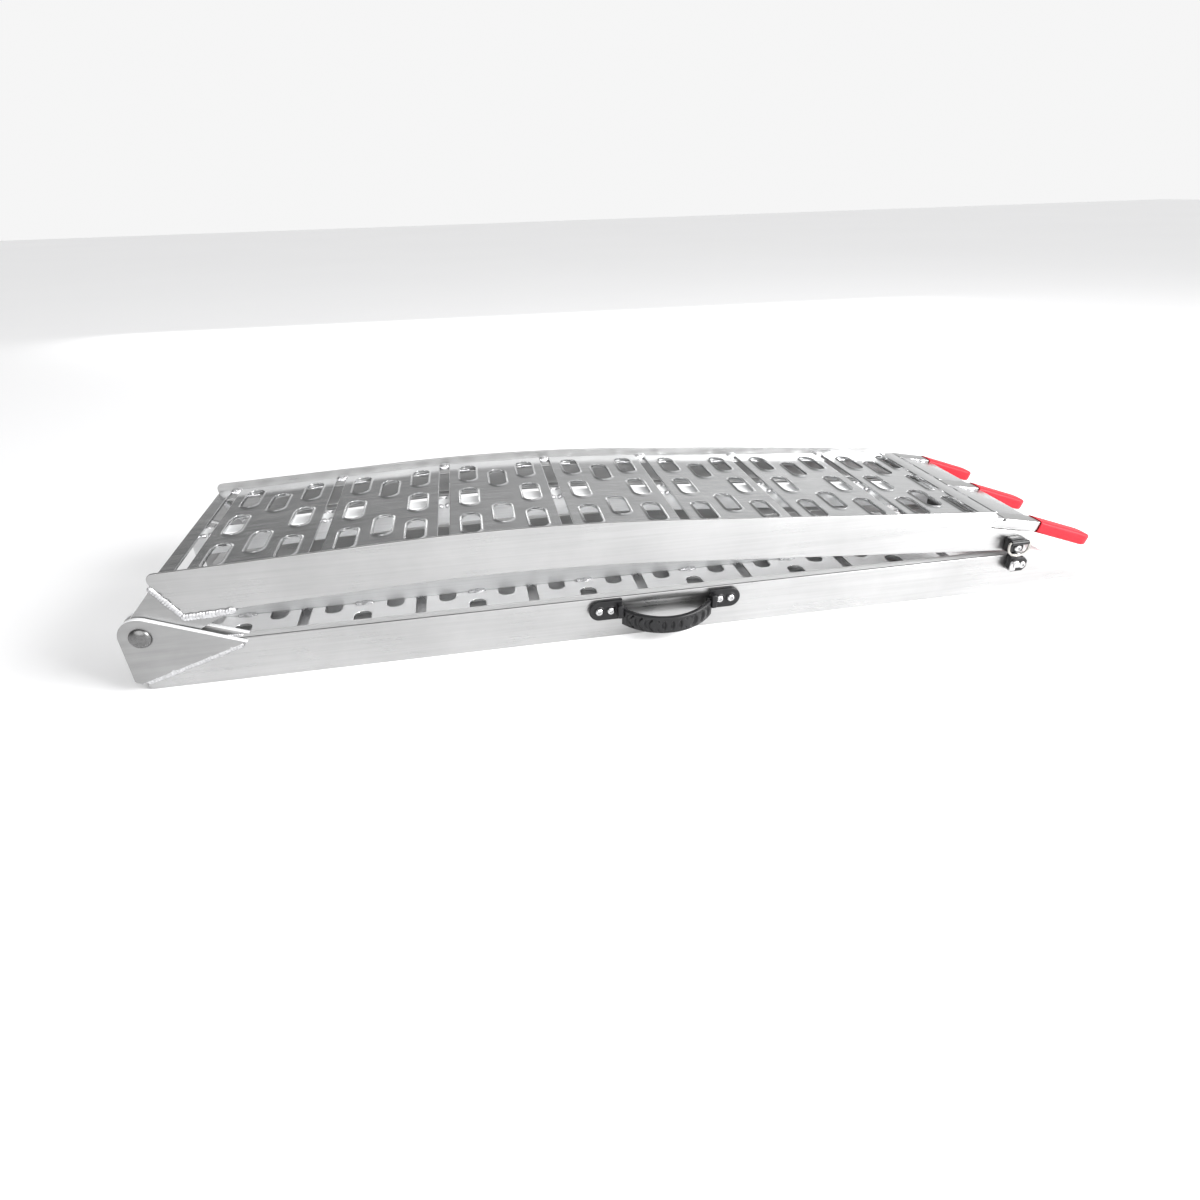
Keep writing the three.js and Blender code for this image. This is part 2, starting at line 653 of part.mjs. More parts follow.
// Bent steel tab, open downwards, that the bail is pulled under
function keeperHook() {
  const seat = -HALF_WIDTH - LATCH.depth - GAP;
  const t = 2.2;
  const profile = [
    [seat, -34], [seat, -20], [seat - 8, -20], [seat - 8, -27], [seat - 8 + t, -27],
    [seat - 8 + t, -20 - t], [seat - t, -20 - t], [seat - t, -34],
  ];
  return along(polygon(profile.reverse()), KEEPER.hookLeft, KEEPER.hookRight);
}

// ---------------------------------------------------------------- assembly

const SIDES = [['near', -1], ['far', 1]];

function buildUpper() {
  const group = new THREE.Group();
  // The latch bolt's place in the upper section frame, which is tipped by the fold slope
  const bolt = new THREE.Vector3(LATCH.boltX, 0, LATCH.boltZ);
  bolt.applyAxisAngle(new THREE.Vector3(0, 1, 0), FOLD_SLOPE);
  SIDES.forEach(([name, side]) => {
    const holes = side < 0 ? screwHoles([[bolt.x, bolt.z]], side, 10) : [];
    addPiece(group, `upper_rail_${name}`, 'rail', upperRail(side, holes));
    addPiece(group, `upper_hinge_tongue_${name}`, 'plate', tongue(side));
  });
  treads(UPPER, 'upper', UPPER.stripStart, UPPER.lastTreadEnd).forEach(([name, geometry]) => {
    addPiece(group, name, 'tread', geometry);
  });
  addPiece(group, 'upper_centre_rib', 'rail', centreRib(UPPER, UPPER.stripStart + 2, UPPER.lastTreadEnd));
  addPiece(group, 'end_crossbar', 'tread', crossbar());
  addPiece(group, 'lip_plate_near', 'tread', lipPlate(FINGER.rows[0], FINGER.rows[1]));
  addPiece(group, 'lip_plate_far', 'tread', lipPlate(FINGER.rows[1], FINGER.rows[2]));
  addPiece(group, 'end_beam', 'rail', endBeam());
  ['near', 'middle', 'far'].forEach((name, i) => {
    addPiece(group, `finger_bar_${name}`, 'rail', fingerBar(FINGER.rows[i]));
    addPiece(group, `finger_sleeve_${name}`, 'red', fingerSleeve(FINGER.rows[i]));
  });
  group.rotation.y = -FOLD_SLOPE;
  return group;
}

function buildLower() {
  const group = new THREE.Group();
  const drillings = [...HANDLE.pads.flatMap(screwPoints), [KEEPER.boltX, KEEPER.boltZ]];
  SIDES.forEach(([name, nearSide]) => {
    // Turning the section upside down swaps its sides
    const side = -nearSide;
    const holes = nearSide < 0 ? screwHoles(drillings.map(([x, z]) => [x, -z]), side, 10) : [];
    addPiece(group, `lower_rail_${name}`, 'rail', lowerRail(side, holes));
    addPiece(group, `hinge_plate_outer_${name}`, 'plate', outerPlate(side));
    addPiece(group, `hinge_plate_inner_${name}`, 'plate', innerPlate(side));
    addPiece(group, `hinge_pin_${name}`, 'steel', hingePin(side));
    const washer = ring(PIN.hole, WASHER.radius, WASHER.from, WASHER.to, side);
    addPiece(group, `hinge_washer_${name}`, 'steel', washer);
    addPiece(group, `hinge_nut_${name}`, 'steel', hexNut(side));
  });
  treads(LOWER, 'lower', 2, LOWER.lastTreadEnd).forEach(([name, geometry]) => {
    addPiece(group, name, 'tread', geometry);
  });
  addPiece(group, 'lower_centre_rib', 'rail', centreRib(LOWER, 26, 1060));
  addPiece(group, 'ground_plate', 'tread', groundPlate());
  group.rotation.x = Math.PI;
  return group;
}

function buildFittings() {
  const group = new THREE.Group();
  ['left', 'right'].forEach((name, i) => {
    const pad = HANDLE.pads[i];
    addPiece(group, `handle_bracket_${name}`, 'black', handlePad(pad));
    screwPoints(pad).forEach(([x, z], k) => {
      const seat = HANDLE.padThick + GAP;
      addPiece(group, `handle_screw_${name}_${k + 1}`, 'steel', screw(x, z, seat));
    });
  });
  addPiece(group, 'handle_grip', 'black', handleGrip());
  const seat = LATCH.depth + GAP;
  addPiece(group, 'latch_base', 'black', latchBase());
  addPiece(group, 'latch_bolt', 'steel', screw(LATCH.boltX, LATCH.boltZ, seat, 15));
  addPiece(group, 'latch_bail', 'steel', latchBail());
  addPiece(group, 'keeper_base', 'black', keeperBase());
  addPiece(group, 'keeper_hook', 'steel', keeperHook());
  addPiece(group, 'keeper_bolt', 'steel', screw(KEEPER.boltX, KEEPER.boltZ, seat, 15));
  return group;
}

const ramp = new THREE.Group();
ramp.add(buildUpper(), buildLower(), buildFittings());

// The origin goes to the middle of the footprint, on the ground
const bounds = new THREE.Box3().setFromObject(ramp);
const middle = bounds.getCenter(new THREE.Vector3());
ramp.position.set(-middle.x, -middle.y, -bounds.min.z);

export default ramp;
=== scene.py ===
import json
from math import acos, asin, atan2, copysign, cos, degrees, hypot, pi, radians, sin, sqrt, tan

import bmesh
import bpy
from mathutils import Matrix, Vector, noise
from mathutils.geometry import delaunay_2d_cdt


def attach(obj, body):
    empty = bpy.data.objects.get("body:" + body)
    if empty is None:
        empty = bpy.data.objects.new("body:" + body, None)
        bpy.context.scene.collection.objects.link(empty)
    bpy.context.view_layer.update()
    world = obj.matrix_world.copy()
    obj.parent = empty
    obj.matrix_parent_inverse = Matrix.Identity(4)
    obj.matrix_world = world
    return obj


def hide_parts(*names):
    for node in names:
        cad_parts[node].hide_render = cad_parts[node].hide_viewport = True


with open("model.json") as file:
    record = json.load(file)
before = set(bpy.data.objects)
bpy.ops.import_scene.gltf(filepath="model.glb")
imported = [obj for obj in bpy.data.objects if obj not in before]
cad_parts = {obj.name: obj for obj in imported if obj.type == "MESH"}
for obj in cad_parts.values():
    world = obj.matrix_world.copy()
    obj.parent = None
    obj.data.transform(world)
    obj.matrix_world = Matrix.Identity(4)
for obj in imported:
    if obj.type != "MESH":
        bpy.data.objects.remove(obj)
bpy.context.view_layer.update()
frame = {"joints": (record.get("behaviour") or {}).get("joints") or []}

# ---- frames and sizes, in millimetres

FOLD = next(joint for joint in frame["joints"] if joint["name"] == "fold")
PIVOT = Vector(FOLD["pos_m"])
MM = Matrix.Scale(0.001, 4)
FOLDED = Matrix.Translation(PIVOT) @ MM
FOLD_SLOPE = radians(2.4)
# Each half's own frame, hinge pin at the origin and deck up, and the body that it is
UPPER = Matrix.Translation(PIVOT) @ Matrix.Rotation(-FOLD_SLOPE, 4, "Y") @ MM, "upper_half"
LOWER = Matrix.Translation(PIVOT) @ Matrix.Rotation(pi, 4, "X") @ MM, "lower_half"

HALF = 140.0
INNER = 136.2
FOOT, DECK, KERB = 16.5, 58.5, 68.5
WALL, LEDGE, FLANGE = 3.5, 28.0, 15.0
LEDGE_SPAN, FLANGE_SPAN = (-6.3, -3.3), (-42.0, -38.5)  # heights over the deck
UPPER_SLOTS, LOWER_SLOTS = (49.7, 140.0), (138.5, 143.7)  # first slot between treads, and the pitch
SLOT_WIDTH, TREADS = 13, 8
ARCH_START, ARCH_RADIUS, ARCH_LENGTH = 266.0, 2780.0, 321.0
LIP_START = 1018.0
FINGER_SLOPE, FINGER_DROOP, LIP_SLOPE = (radians(a) for a in (6.5, 8.5, 8.0))
FINGER_BEND = 49.5
FINGERS = {"near": -126.0, "middle": 0.0, "far": 126.0}
SIDES = {"near": -1, "far": 1}
SCREW_HOLE, PIN_HOLE = 3.2, 7.3
PADS = {"left": (483.0, 523.0, 1), "right": (668.0, 630.0, -1)}  # outer end, inner end, way inwards
SCREWS = {side: [end + face * (12 + 14 * i) for i in range(2)] for side, (end, _, face) in PADS.items()}
HANDLE_Z = -30.0
LATCH_BOLT, KEEPER_BOLT = (1029.5, -3.5), (1041.5, -27.5)
LATCH_AXIS = (-HALF - 12.0, 5.0)


def deck_point(s, height=0.0, arched=True):
    """Place in a section's side view at a distance s along its deck, at a height over it."""
    if not arched or s <= ARCH_START:
        return s, DECK + height
    slope = deck_slope(s)
    past = max(0.0, s - ARCH_START - ARCH_LENGTH)
    x = ARCH_START + ARCH_RADIUS * sin(slope) + past * cos(slope)
    z = DECK - ARCH_RADIUS * (1 - cos(slope)) - past * sin(slope)
    return x + height * sin(slope), z + height * cos(slope)


def deck_slope(s, arched=True):
    return min(max(s - ARCH_START, 0.0), ARCH_LENGTH) / ARCH_RADIUS if arched else 0.0


def on_deck(s, arched=True):
    """Matrix from a level deck at s = 0 to the section's own deck at s."""
    x, z = deck_point(s, 0.0, arched)
    return Matrix.Translation((x, 0, z)) @ Matrix.Rotation(deck_slope(s, arched), 4, "Y")


def placed(name, data):
    """A new object in the scene that holds the data."""
    obj = bpy.data.objects.new(name, data)
    bpy.context.scene.collection.objects.link(obj)
    return obj


# ---- mesh building

def moved(part, matrix):
    verts, faces = part
    return [tuple(matrix @ Vector(v)) for v in verts], faces


def area(loop):
    return 0.5 * sum(a[0] * b[1] - b[0] * a[1] for a, b in zip(loop, loop[1:] + loop[:1]))


def wound(loop, left):
    """The loop, anticlockwise if left is true and clockwise if not."""
    return list(loop) if (area(loop) > 0) == left else list(loop)[::-1]


def inset(loop, distance):
    """The loop moved to its left by a distance, with mitred corners."""
    out = []
    for i, (x, y) in enumerate(loop):
        before, after = loop[i - 1], loop[(i + 1) % len(loop)]
        a = Vector((x - before[0], y - before[1])).normalized()
        b = Vector((after[0] - x, after[1] - y)).normalized()
        na, nb = Vector((-a.y, a.x)), Vector((-b.y, b.x))
        push = (na + nb) * (distance / max(1 + na.dot(nb), 0.35))
        out.append((x + push.x, y + push.y))
    return out


def inside(loop, x, y):
    odd = False
    for (x0, y0), (x1, y1) in zip(loop, loop[1:] + loop[:1]):
        if (y0 > y) != (y1 > y) and x < x0 + (y - y0) * (x1 - x0) / (y1 - y0):
            odd = not odd
    return odd


def fill(loops):
    """Triangles between the first loop and the others, which are holes in it."""
    points, edges = [], []
    for loop in loops:
        start = len(points)
        edges += [(start + i, start + (i + 1) % len(loop)) for i in range(len(loop))]
        points += [Vector(p) for p in loop]
    coords, _, faces, origin, _, _ = delaunay_2d_cdt(points, edges, [], 0, 1e-6)
    kept = []
    for face in faces:
        x = sum(coords[i].x for i in face) / len(face)
        y = sum(coords[i].y for i in face) / len(face)
        if inside(loops[0], x, y) and not any(inside(hole, x, y) for hole in loops[1:]):
            kept.append(tuple(origin[i][0] for i in face))
    return kept


def stacked(loop_rings, close=False):
    """Faces between rings of equal length, each a list of points."""
    count = len(loop_rings[0])
    verts = [p for ring in loop_rings for p in ring]
    faces = []
    for r in range(len(loop_rings) - 1 + close):
        low, high = r * count, ((r + 1) % len(loop_rings)) * count
        for i in range(count):
            j = (i + 1) % count
            faces.append((low + i, low + j, high + j, high + i))
    return verts, faces


def capped(rings):
    """Faces between the rings, closed over the first and the last."""
    verts, faces = stacked(rings)
    count = len(rings[0])
    last = len(verts) - count
    return verts, faces + [tuple(range(count)), tuple(range(last, last + count))]


def shell(outline, rim, holes=(), hole_rim=None):
    """A plate whose edges follow a rim: (inset, height) pairs from its top face round to its bottom face."""
    loops = [wound(outline, True), *(wound(hole, False) for hole in holes)]
    verts, faces, tops, bottoms = [], [], [], []
    for i, loop in enumerate(loops):
        profile = rim if i == 0 else hole_rim or rim
        rings = []
        for distance, height in profile:
            rings.append([(x, y, height) for x, y in inset(loop, distance)])
        ring_verts, ring_faces = stacked(rings)
        base = len(verts)
        verts += ring_verts
        faces += [tuple(base + k for k in face) for face in ring_faces]
        tops += range(base, base + len(loop))
        bottoms += range(base + len(loop) * (len(rings) - 1), base + len(loop) * len(rings))
    for face in fill(loops):
        faces.append(tuple(tops[k] for k in face))
        faces.append(tuple(bottoms[k] for k in reversed(face)))
    return verts, faces


def round_rim(low, high, radius, steps=3):
    rim = []
    for i in range(steps + 1):
        angle = pi / 2 * i / steps
        rim.append((radius * (1 - sin(angle)), high - radius * (1 - cos(angle))))
    return rim + [(distance, low + high - height) for distance, height in reversed(rim)]


def slab(outline, low, high, radius=0.5, holes=(), steps=3):
    """A plate drawn in plan, with rounded edges."""
    return shell(outline, round_rim(low, high, radius, steps), holes)


def across(outline, y0, y1, radius=0.5, holes=(), steps=3):
    """A plate drawn in a side view, running across the ramp."""
    verts, faces = slab(outline, y0, y1, radius, holes, steps)
    return [(x, height, z) for x, z, height in verts], faces


def depths(side, a, b):
    """From depths inside a rail's outer face to low and high Y."""
    return sorted((side * (HALF - a), side * (HALF - b)))


def arc(cx, cy, radius, start, end, steps):
    """Points on an arc, in degrees, ends included."""
    angles = [radians(start + (end - start) * i / steps) for i in range(steps + 1)]
    return [(cx + radius * cos(angle), cy + radius * sin(angle)) for angle in angles]


def rounded(points, radius, steps=4):
    """A closed outline with every corner rounded."""
    out = []
    for i, point in enumerate(points):
        p, a, b = Vector(point), Vector(points[i - 1]), Vector(points[(i + 1) % len(points)])
        to_a, to_b = (a - p).normalized(), (b - p).normalized()
        half = max(to_a.angle(to_b) / 2, 0.05)
        reach = min(radius / tan(half), (a - p).length * 0.45, (b - p).length * 0.45)
        start, end = p + to_a * reach, p + to_b * reach
        for k in range(steps + 1):
            t = k / steps
            out.append(tuple(start * (1 - t) ** 2 + p * 2 * t * (1 - t) + end * t ** 2))
    return out


def circle(cx, cy, radius, steps=32):
    return arc(cx, cy, radius, 0, 360 - 360 / steps, steps - 1)


def obround(cx, cy, length, width, steps=9):
    r, half = width / 2, (length - width) / 2
    return arc(cx, cy + half, r, 0, 180, steps) + arc(cx, cy - half, r, 180, 360, steps)


def lathe(profile, segments=32, hexes=()):
    """A profile of (radius, height) pairs turned about Z. Points listed in hexes are kept inside a hexagon."""
    verts, rings, faces = [], [], []
    for i, (radius, height) in enumerate(profile):
        if radius < 1e-6:
            rings.append([len(verts)])
            verts.append((0.0, 0.0, height))
            continue
        ring = []
        for k in range(segments):
            angle = 2 * pi * k / segments
            r = radius
            if i in dict(hexes):
                turn = (angle + pi / 6) % (pi / 3) - pi / 6
                r = min(radius, dict(hexes)[i] / cos(turn))
            ring.append(len(verts))
            verts.append((r * cos(angle), r * sin(angle), height))
        rings.append(ring)
    for low, high in zip(rings, rings[1:]):
        if len(low) == 1 and len(high) == 1:
            continue
        for k in range(segments):
            j = (k + 1) % segments
            if len(low) == 1:
                faces.append((low[0], high[k], high[j]))
            elif len(high) == 1:
                faces.append((low[k], low[j], high[0]))
            else:
                faces.append((low[k], low[j], high[j], high[k]))
    return verts, faces


def tube(points, radius, sides=12):
    """A round bar along a line of points, closed at its ends."""
    points = [Vector(p) for p in points]
    rings, normal = [], None
    for i, p in enumerate(points):
        tangent = (points[min(i + 1, len(points) - 1)] - points[max(i - 1, 0)]).normalized()
        if normal is None:
            normal = tangent.orthogonal().normalized()
        normal = (normal - tangent * normal.dot(tangent)).normalized()
        side = tangent.cross(normal)
        ring = []
        for k in range(sides):
            angle = 2 * pi * k / sides
            ring.append(tuple(p + (normal * cos(angle) + side * sin(angle)) * radius))
        rings.append(ring)
    return capped(rings)


def smooth_path(points, per_span=6):
    """A Catmull-Rom curve through the points."""
    p = [Vector(points[0]), *map(Vector, points), Vector(points[-1])]
    out = []
    for a, b, c, d in zip(p, p[1:], p[2:], p[3:]):
        for k in range(per_span):
            t = k / per_span
            out.append(0.5 * (2 * b + (c - a) * t + (2 * a - 5 * b + 4 * c - d) * t ** 2
                              + (3 * b - a - 3 * c + d) * t ** 3))
    return [*out, p[-1]]


def resampled(points, step):
    points = [Vector(p) for p in points]
    out, left = [points[0]], step
    for a, b in zip(points, points[1:]):
        length = (b - a).length
        at = left
        while at <= length:
            out.append(a + (b - a) * (at / length))
            at += step
        left = at - length
    return out


def bead(points, width, height, up, seed=0.0, ripple=2.4):
    """A weld bead: a low rounded ridge with the ripples left by the torch."""
    step, columns = 0.6, 11
    path = resampled(points, step)
    up = Vector(up).normalized()
    rings = []
    for i, p in enumerate(path):
        tangent = (path[min(i + 1, len(path) - 1)] - path[max(i - 1, 0)]).normalized()
        side = tangent.cross(up).normalized()
        s = i * step
        total = (len(path) - 1) * step
        end = min(s, total - s) / (width * 0.5)
        taper = sqrt(max(1 - max(1 - end, 0.0) ** 2, 0.02))
        wander = noise.noise(Vector((s * 0.11, seed, 1.7)))
        ring = []
        for k in range(columns):
            t = 2 * k / (columns - 1) - 1
            crown = (1 - t * t) ** 0.55 if abs(t) < 1 else 0.0
            phase = (s + 1.5 * (1 - t * t) + 0.5 * wander) / ripple
            scallop = 1 - (phase % 1.0) ** 1.6
            rise = height * crown * (0.62 + 0.45 * scallop) * (1 + 0.18 * wander)
            ragged = noise.noise(Vector((s * 0.16, t * 0.8 + seed, 5.1)))
            spread = width / 2 * (1 + 0.32 * ragged + 0.07 * scallop)
            ring.append(tuple(p + side * (t * spread * taper) + up * (rise * taper)))
        for t in (0.9, 0.0, -0.9):
            ring.append(tuple(p + side * (t * width / 2 * taper) - up * 0.5))
        rings.append(ring)
    return capped(rings)


def blob(centre, radii, height, up=(0, 0, 1), seed=0.0):
    """A tack weld: a lumpy dome with rings."""
    up = Vector(up).normalized()
    a = Vector((1, 0, 0)) if abs(up.x) < 0.9 else Vector((0, 1, 0))
    a = (a - up * a.dot(up)).normalized()
    b = up.cross(a)
    verts, rings, segments, steps = [], [], 24, 9
    centre = Vector(centre)
    for k in range(steps + 1):
        t = k / steps
        ring = []
        for j in range(segments):
            angle = 2 * pi * j / segments
            spot = Vector((cos(angle) * 1.3 + seed, sin(angle) * 1.3, seed * 2))
            lump = 1 + 0.22 * noise.noise(spot)
            ripple = 0.92 + 0.08 * cos(t * 14)
            reach = t * lump
            rise = height * sqrt(max(1 - t * t, 0.0)) * ripple
            across_a, across_b = radii[0] * reach * cos(angle), radii[1] * reach * sin(angle)
            point = centre + a * across_a + b * across_b
            ring.append(tuple(point + up * (rise if k < steps else -0.5)))
        if k == 0:
            rings.append([len(verts)])
            verts.append(ring[0])
        else:
            rings.append(list(range(len(verts), len(verts) + segments)))
            verts += ring
    faces = [(rings[0][0], rings[1][j], rings[1][(j + 1) % segments]) for j in range(segments)]
    for low, high in zip(rings[1:], rings[2:]):
        faces += [(low[j], high[j], high[(j + 1) % segments], low[(j + 1) % segments])
                  for j in range(segments)]
    return verts, faces + [tuple(rings[-1])]


def piece(name, parts, material, matrix, body, replaced=(), sharp=34):
    """Makes one object of the given parts, in place, riding on a body, in its material's slot."""
    mesh = bpy.data.meshes.new(name)
    verts, faces = [], []
    for part_verts, part_faces in parts:
        base = len(verts)
        verts += [tuple(matrix @ Vector(v)) for v in part_verts]
        faces += [tuple(base + i for i in face) for face in part_faces]
    mesh.from_pydata(verts, [], faces)
    bm = bmesh.new()
    bm.from_mesh(mesh)
    bmesh.ops.dissolve_degenerate(bm, dist=1e-7, edges=bm.edges)
    bmesh.ops.recalc_face_normals(bm, faces=bm.faces)
    bm.to_mesh(mesh)
    bm.free()
    mesh.polygons.foreach_set("use_smooth", [True] * len(mesh.polygons))
    mesh.set_sharp_from_angle(angle=radians(sharp))
    mesh.materials.append(material)
    obj = placed(name, mesh)
    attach(obj, body)
    if replaced:
        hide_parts(*replaced)
    return obj


def stand_in(node, suffix, parts, material, matrix, body, sharp=34):
    """The piece that is seen in place of one CAD node."""
    return piece(f"{node}_{suffix}", parts, material, matrix, body, [node], sharp)


# ---- materials

def map_range(tree, value, from_range, to_range, interpolation):
    node = tree.nodes.new("ShaderNodeMapRange")
    node.interpolation_type = interpolation
    for key, number in zip(("From Min", "From Max", "To Min", "To Max"), (*from_range, *to_range)):
        node.inputs[key].default_value = number
    tree.links.new(value, node.inputs["Value"])
    return node.outputs["Result"]


class Nodes:
    """Short names for building a node material."""

    def __init__(self, name):
        self.material = bpy.data.materials.new(name)
        self.material.use_nodes = True
        self.tree = self.material.node_tree
        self.shader = self.tree.nodes["Principled BSDF"]
        self.coords = self.tree.nodes.new("ShaderNodeTexCoord").outputs["Object"]

    def add(self, kind, **settings):
        node = self.tree.nodes.new(kind)
        for key, value in settings.items():
            setattr(node, key, value)
        return node

    def link(self, a, b):
        self.tree.links.new(a, b)

    def stretched(self, scale):
        mapping = self.add("ShaderNodeMapping")
        mapping.inputs["Scale"].default_value = scale
        self.link(self.coords, mapping.inputs["Vector"])
        return mapping.outputs["Vector"]

    def noise(self, scale, stretch=(1, 1, 1), detail=3.0, roughness=0.5):
        node = self.add("ShaderNodeTexNoise")
        node.inputs["Scale"].default_value = scale
        node.inputs["Detail"].default_value = detail
        node.inputs["Roughness"].default_value = roughness
        self.link(self.stretched(stretch), node.inputs["Vector"])
        return node.outputs["Fac"]

    def ranged(self, value, low, high, from_low=0.25, from_high=0.75):
        return map_range(self.tree, value, (from_low, from_high), (low, high), "LINEAR")

    def maths(self, operation, a, b):
        node = self.add("ShaderNodeMath", operation=operation)
        for socket, value in zip(node.inputs, (a, b)):
            if isinstance(value, (int, float)):
                socket.default_value = value
            else:
                self.link(value, socket)
        return node.outputs["Value"]

    def mixed(self, factor, dark, light):
        node = self.add("ShaderNodeMix", data_type="RGBA")
        self.link(factor, node.inputs["Factor"])
        node.inputs["A"].default_value = (*dark, 1)
        node.inputs["B"].default_value = (*light, 1)
        return node.outputs["Result"]

    def bump(self, height, distance):
        node = self.add("ShaderNodeBump")
        node.inputs["Distance"].default_value = distance
        node.inputs["Strength"].default_value = 1.0
        self.link(height, node.inputs["Height"])
        return node.outputs["Normal"]

    def finish(self, colour, roughness, normal, **constants):
        self.link(colour, self.shader.inputs["Base Color"])
        self.link(roughness, self.shader.inputs["Roughness"])
        self.link(normal, self.shader.inputs["Normal"])
        for key, value in constants.items():
            self.shader.inputs[key.replace("_", " ")].default_value = value
        return self.material


def aluminium(name, dark, light, roughness, grain, bump=0.00002, smudge=0.05, metallic=1.0):
    """Aluminium with drawing or rolling lines along X, cloudy handling marks and a few fine scratches."""
    n = Nodes(name)
    clouds = n.noise(9.0, detail=4.0, roughness=0.6)
    lines = n.noise(1.0, (7.0, grain, grain), detail=5.0, roughness=0.65)
    fine = n.noise(1.0, (40.0, grain * 4, grain * 4), detail=2.0)
    both = n.maths("ADD", n.maths("MULTIPLY", clouds, 0.55), n.maths("MULTIPLY", lines, 0.45))
    colour = n.mixed(n.ranged(both, 0.0, 1.0, 0.38, 0.62), dark, light)
    smudges = n.ranged(n.noise(17.0, (1.0, 2.0, 2.0), detail=5.0), -smudge, smudge, 0.35, 0.65)
    rough = n.maths("ADD", n.ranged(lines, roughness - 0.04, roughness + 0.05, 0.35, 0.65), smudges)
    normal = n.bump(n.maths("ADD", lines, n.maths("MULTIPLY", fine, 0.5)), bump)
    return n.finish(colour, rough, normal, Metallic=metallic)


def weld_metal():
    n = Nodes("weld_aluminium")
    grains = n.noise(900.0, detail=3.0)
    colour = n.mixed(n.ranged(n.noise(240.0), 0.0, 1.0), (0.46, 0.46, 0.47), (0.74, 0.74, 0.75))
    return n.finish(colour, n.ranged(grains, 0.24, 0.42), n.bump(grains, 0.0002), Metallic=1.0)


def zinc_steel(name, dark, light, roughness):
    n = Nodes(name)
    cells = n.noise(330.0, detail=3.0)
    colour = n.mixed(n.ranged(cells, 0.0, 1.0, 0.35, 0.65), dark, light)
    rough = n.ranged(n.noise(150.0), roughness - 0.05, roughness + 0.1)
    return n.finish(colour, rough, n.bump(cells, 0.00003), Metallic=1.0)


def black_plastic():
    n = Nodes("moulded_black")
    spark = n.noise(2600.0, detail=2.0)
    flow = n.noise(60.0, (1.0, 3.0, 1.0), detail=3.0)
    colour = n.mixed(n.ranged(flow, 0.0, 1.0), (0.003, 0.003, 0.004), (0.009, 0.009, 0.010))
    rough = n.ranged(flow, 0.34, 0.44)
    return n.finish(colour, rough, n.bump(spark, 0.00003), IOR=1.42)


def red_dip():
    """Dipped soft plastic: smooth, with faint runs and an orange-peel skin."""
    n = Nodes("dipped_red")
    peel = n.noise(420.0, detail=2.0)
    runs = n.noise(34.0, (0.5, 1.0, 1.0), detail=3.0)
    height = n.maths("ADD", n.maths("MULTIPLY", peel, 0.25), runs)
    colour = n.mixed(n.ranged(runs, 0.0, 1.0), (0.40, 0.005, 0.014), (0.45, 0.008, 0.020))
    normal = n.bump(height, 0.0004)
    return n.finish(colour, n.ranged(peel, 0.42, 0.56), normal, IOR=1.35, Subsurface_Weight=0.06)


def studio_floor():
    n = Nodes("studio_floor")
    paper = n.noise(400.0, detail=3.0)
    colour = n.mixed(n.ranged(n.noise(0.7), 0.0, 1.0), (0.90, 0.90, 0.905), (0.915, 0.915, 0.92))
    return n.finish(colour, n.ranged(paper, 0.75, 0.85), n.bump(paper, 0.00005))


FRAME_METAL = aluminium("frame_aluminium", (0.415, 0.415, 0.415), (0.49, 0.49, 0.49), 0.33, 420.0)
DECK_METAL = aluminium("deck_aluminium", (0.56, 0.565, 0.57), (0.68, 0.685, 0.69), 0.19, 300.0, smudge=0.03)
PLATE_METAL = aluminium("plate_aluminium", (0.30, 0.30, 0.30), (0.385, 0.385, 0.385), 0.38, 140.0, 0.00003)
# Near-white, nearly non-metallic copy of the aluminium for faces under the deck: painted light that brightens the
# shaded space under the deck, seen through the holes and the gap.
UNDERSIDE_PAINTED_LIGHT_METAL = aluminium("underside_painted_light_aluminium", (0.93, 0.933, 0.936), (0.985, 0.987, 0.99), 0.40, 260.0, 0.00003,
                        metallic=0.15)
SATIN_METAL = aluminium("satin_aluminium", (0.47, 0.47, 0.47), (0.55, 0.55, 0.55), 0.42, 260.0, 0.00003,
                        metallic=0.4)
# Much lighter than the plates and frame: partly the rougher sawn finish, partly a painted highlight on the plates'
# cut edges and painted light on the rib in the shade under the deck.
SAWN_AND_HIGHLIGHT_METAL = aluminium("sawn_aluminium_painted_highlight", (0.78, 0.785, 0.79), (0.92, 0.925, 0.93), 0.62, 900.0, 0.00006,
                       metallic=0.6)
WELD = weld_metal()
PIN_STEEL = zinc_steel("pin_steel", (0.17, 0.17, 0.17), (0.21, 0.21, 0.21), 0.26)
BRIGHT_STEEL = zinc_steel("bright_steel", (0.48, 0.48, 0.485), (0.62, 0.62, 0.625), 0.20)
WIRE_STEEL = zinc_steel("wire_steel", (0.36, 0.35, 0.33), (0.48, 0.465, 0.44), 0.30)
BLACK = black_plastic()
RED = red_dip()

# ---- treads

HOLE_LIP = [
    (3.9, 0.0), (3.3, 0.0), (2.6, 0.10), (2.0, 0.42), (1.5, 0.92), (1.1, 1.36), (0.75, 1.62), (0.4, 1.66),
    (0.12, 1.48), (0.0, 1.1), (0.0, -1.5), (0.2, -2.2), (0.7, -2.7), (1.4, -2.95), (2.0, -3.0), (2.6, -3.0),
]
TREAD_EDGE = [
    (1.4, 0.0), (0.7, 0.0), (0.35, -0.06), (0.1, -0.25), (0.0, -0.6),
    (0.0, -2.4), (0.1, -2.75), (0.35, -2.94), (0.7, -3.0), (1.4, -3.0),
]


def tread(x0, x1, columns):
    """A sheet tread with raised holes. columns are (x, [(y, length), ...], width) triples."""
    outline = [(x0, -INNER), (x1, -INNER), (x1, INNER), (x0, INNER)]
    holes = [obround(x, y, length, width) for x, rows, width in columns for y, length in rows]
    return shell(outline, TREAD_EDGE, holes, HOLE_LIP)


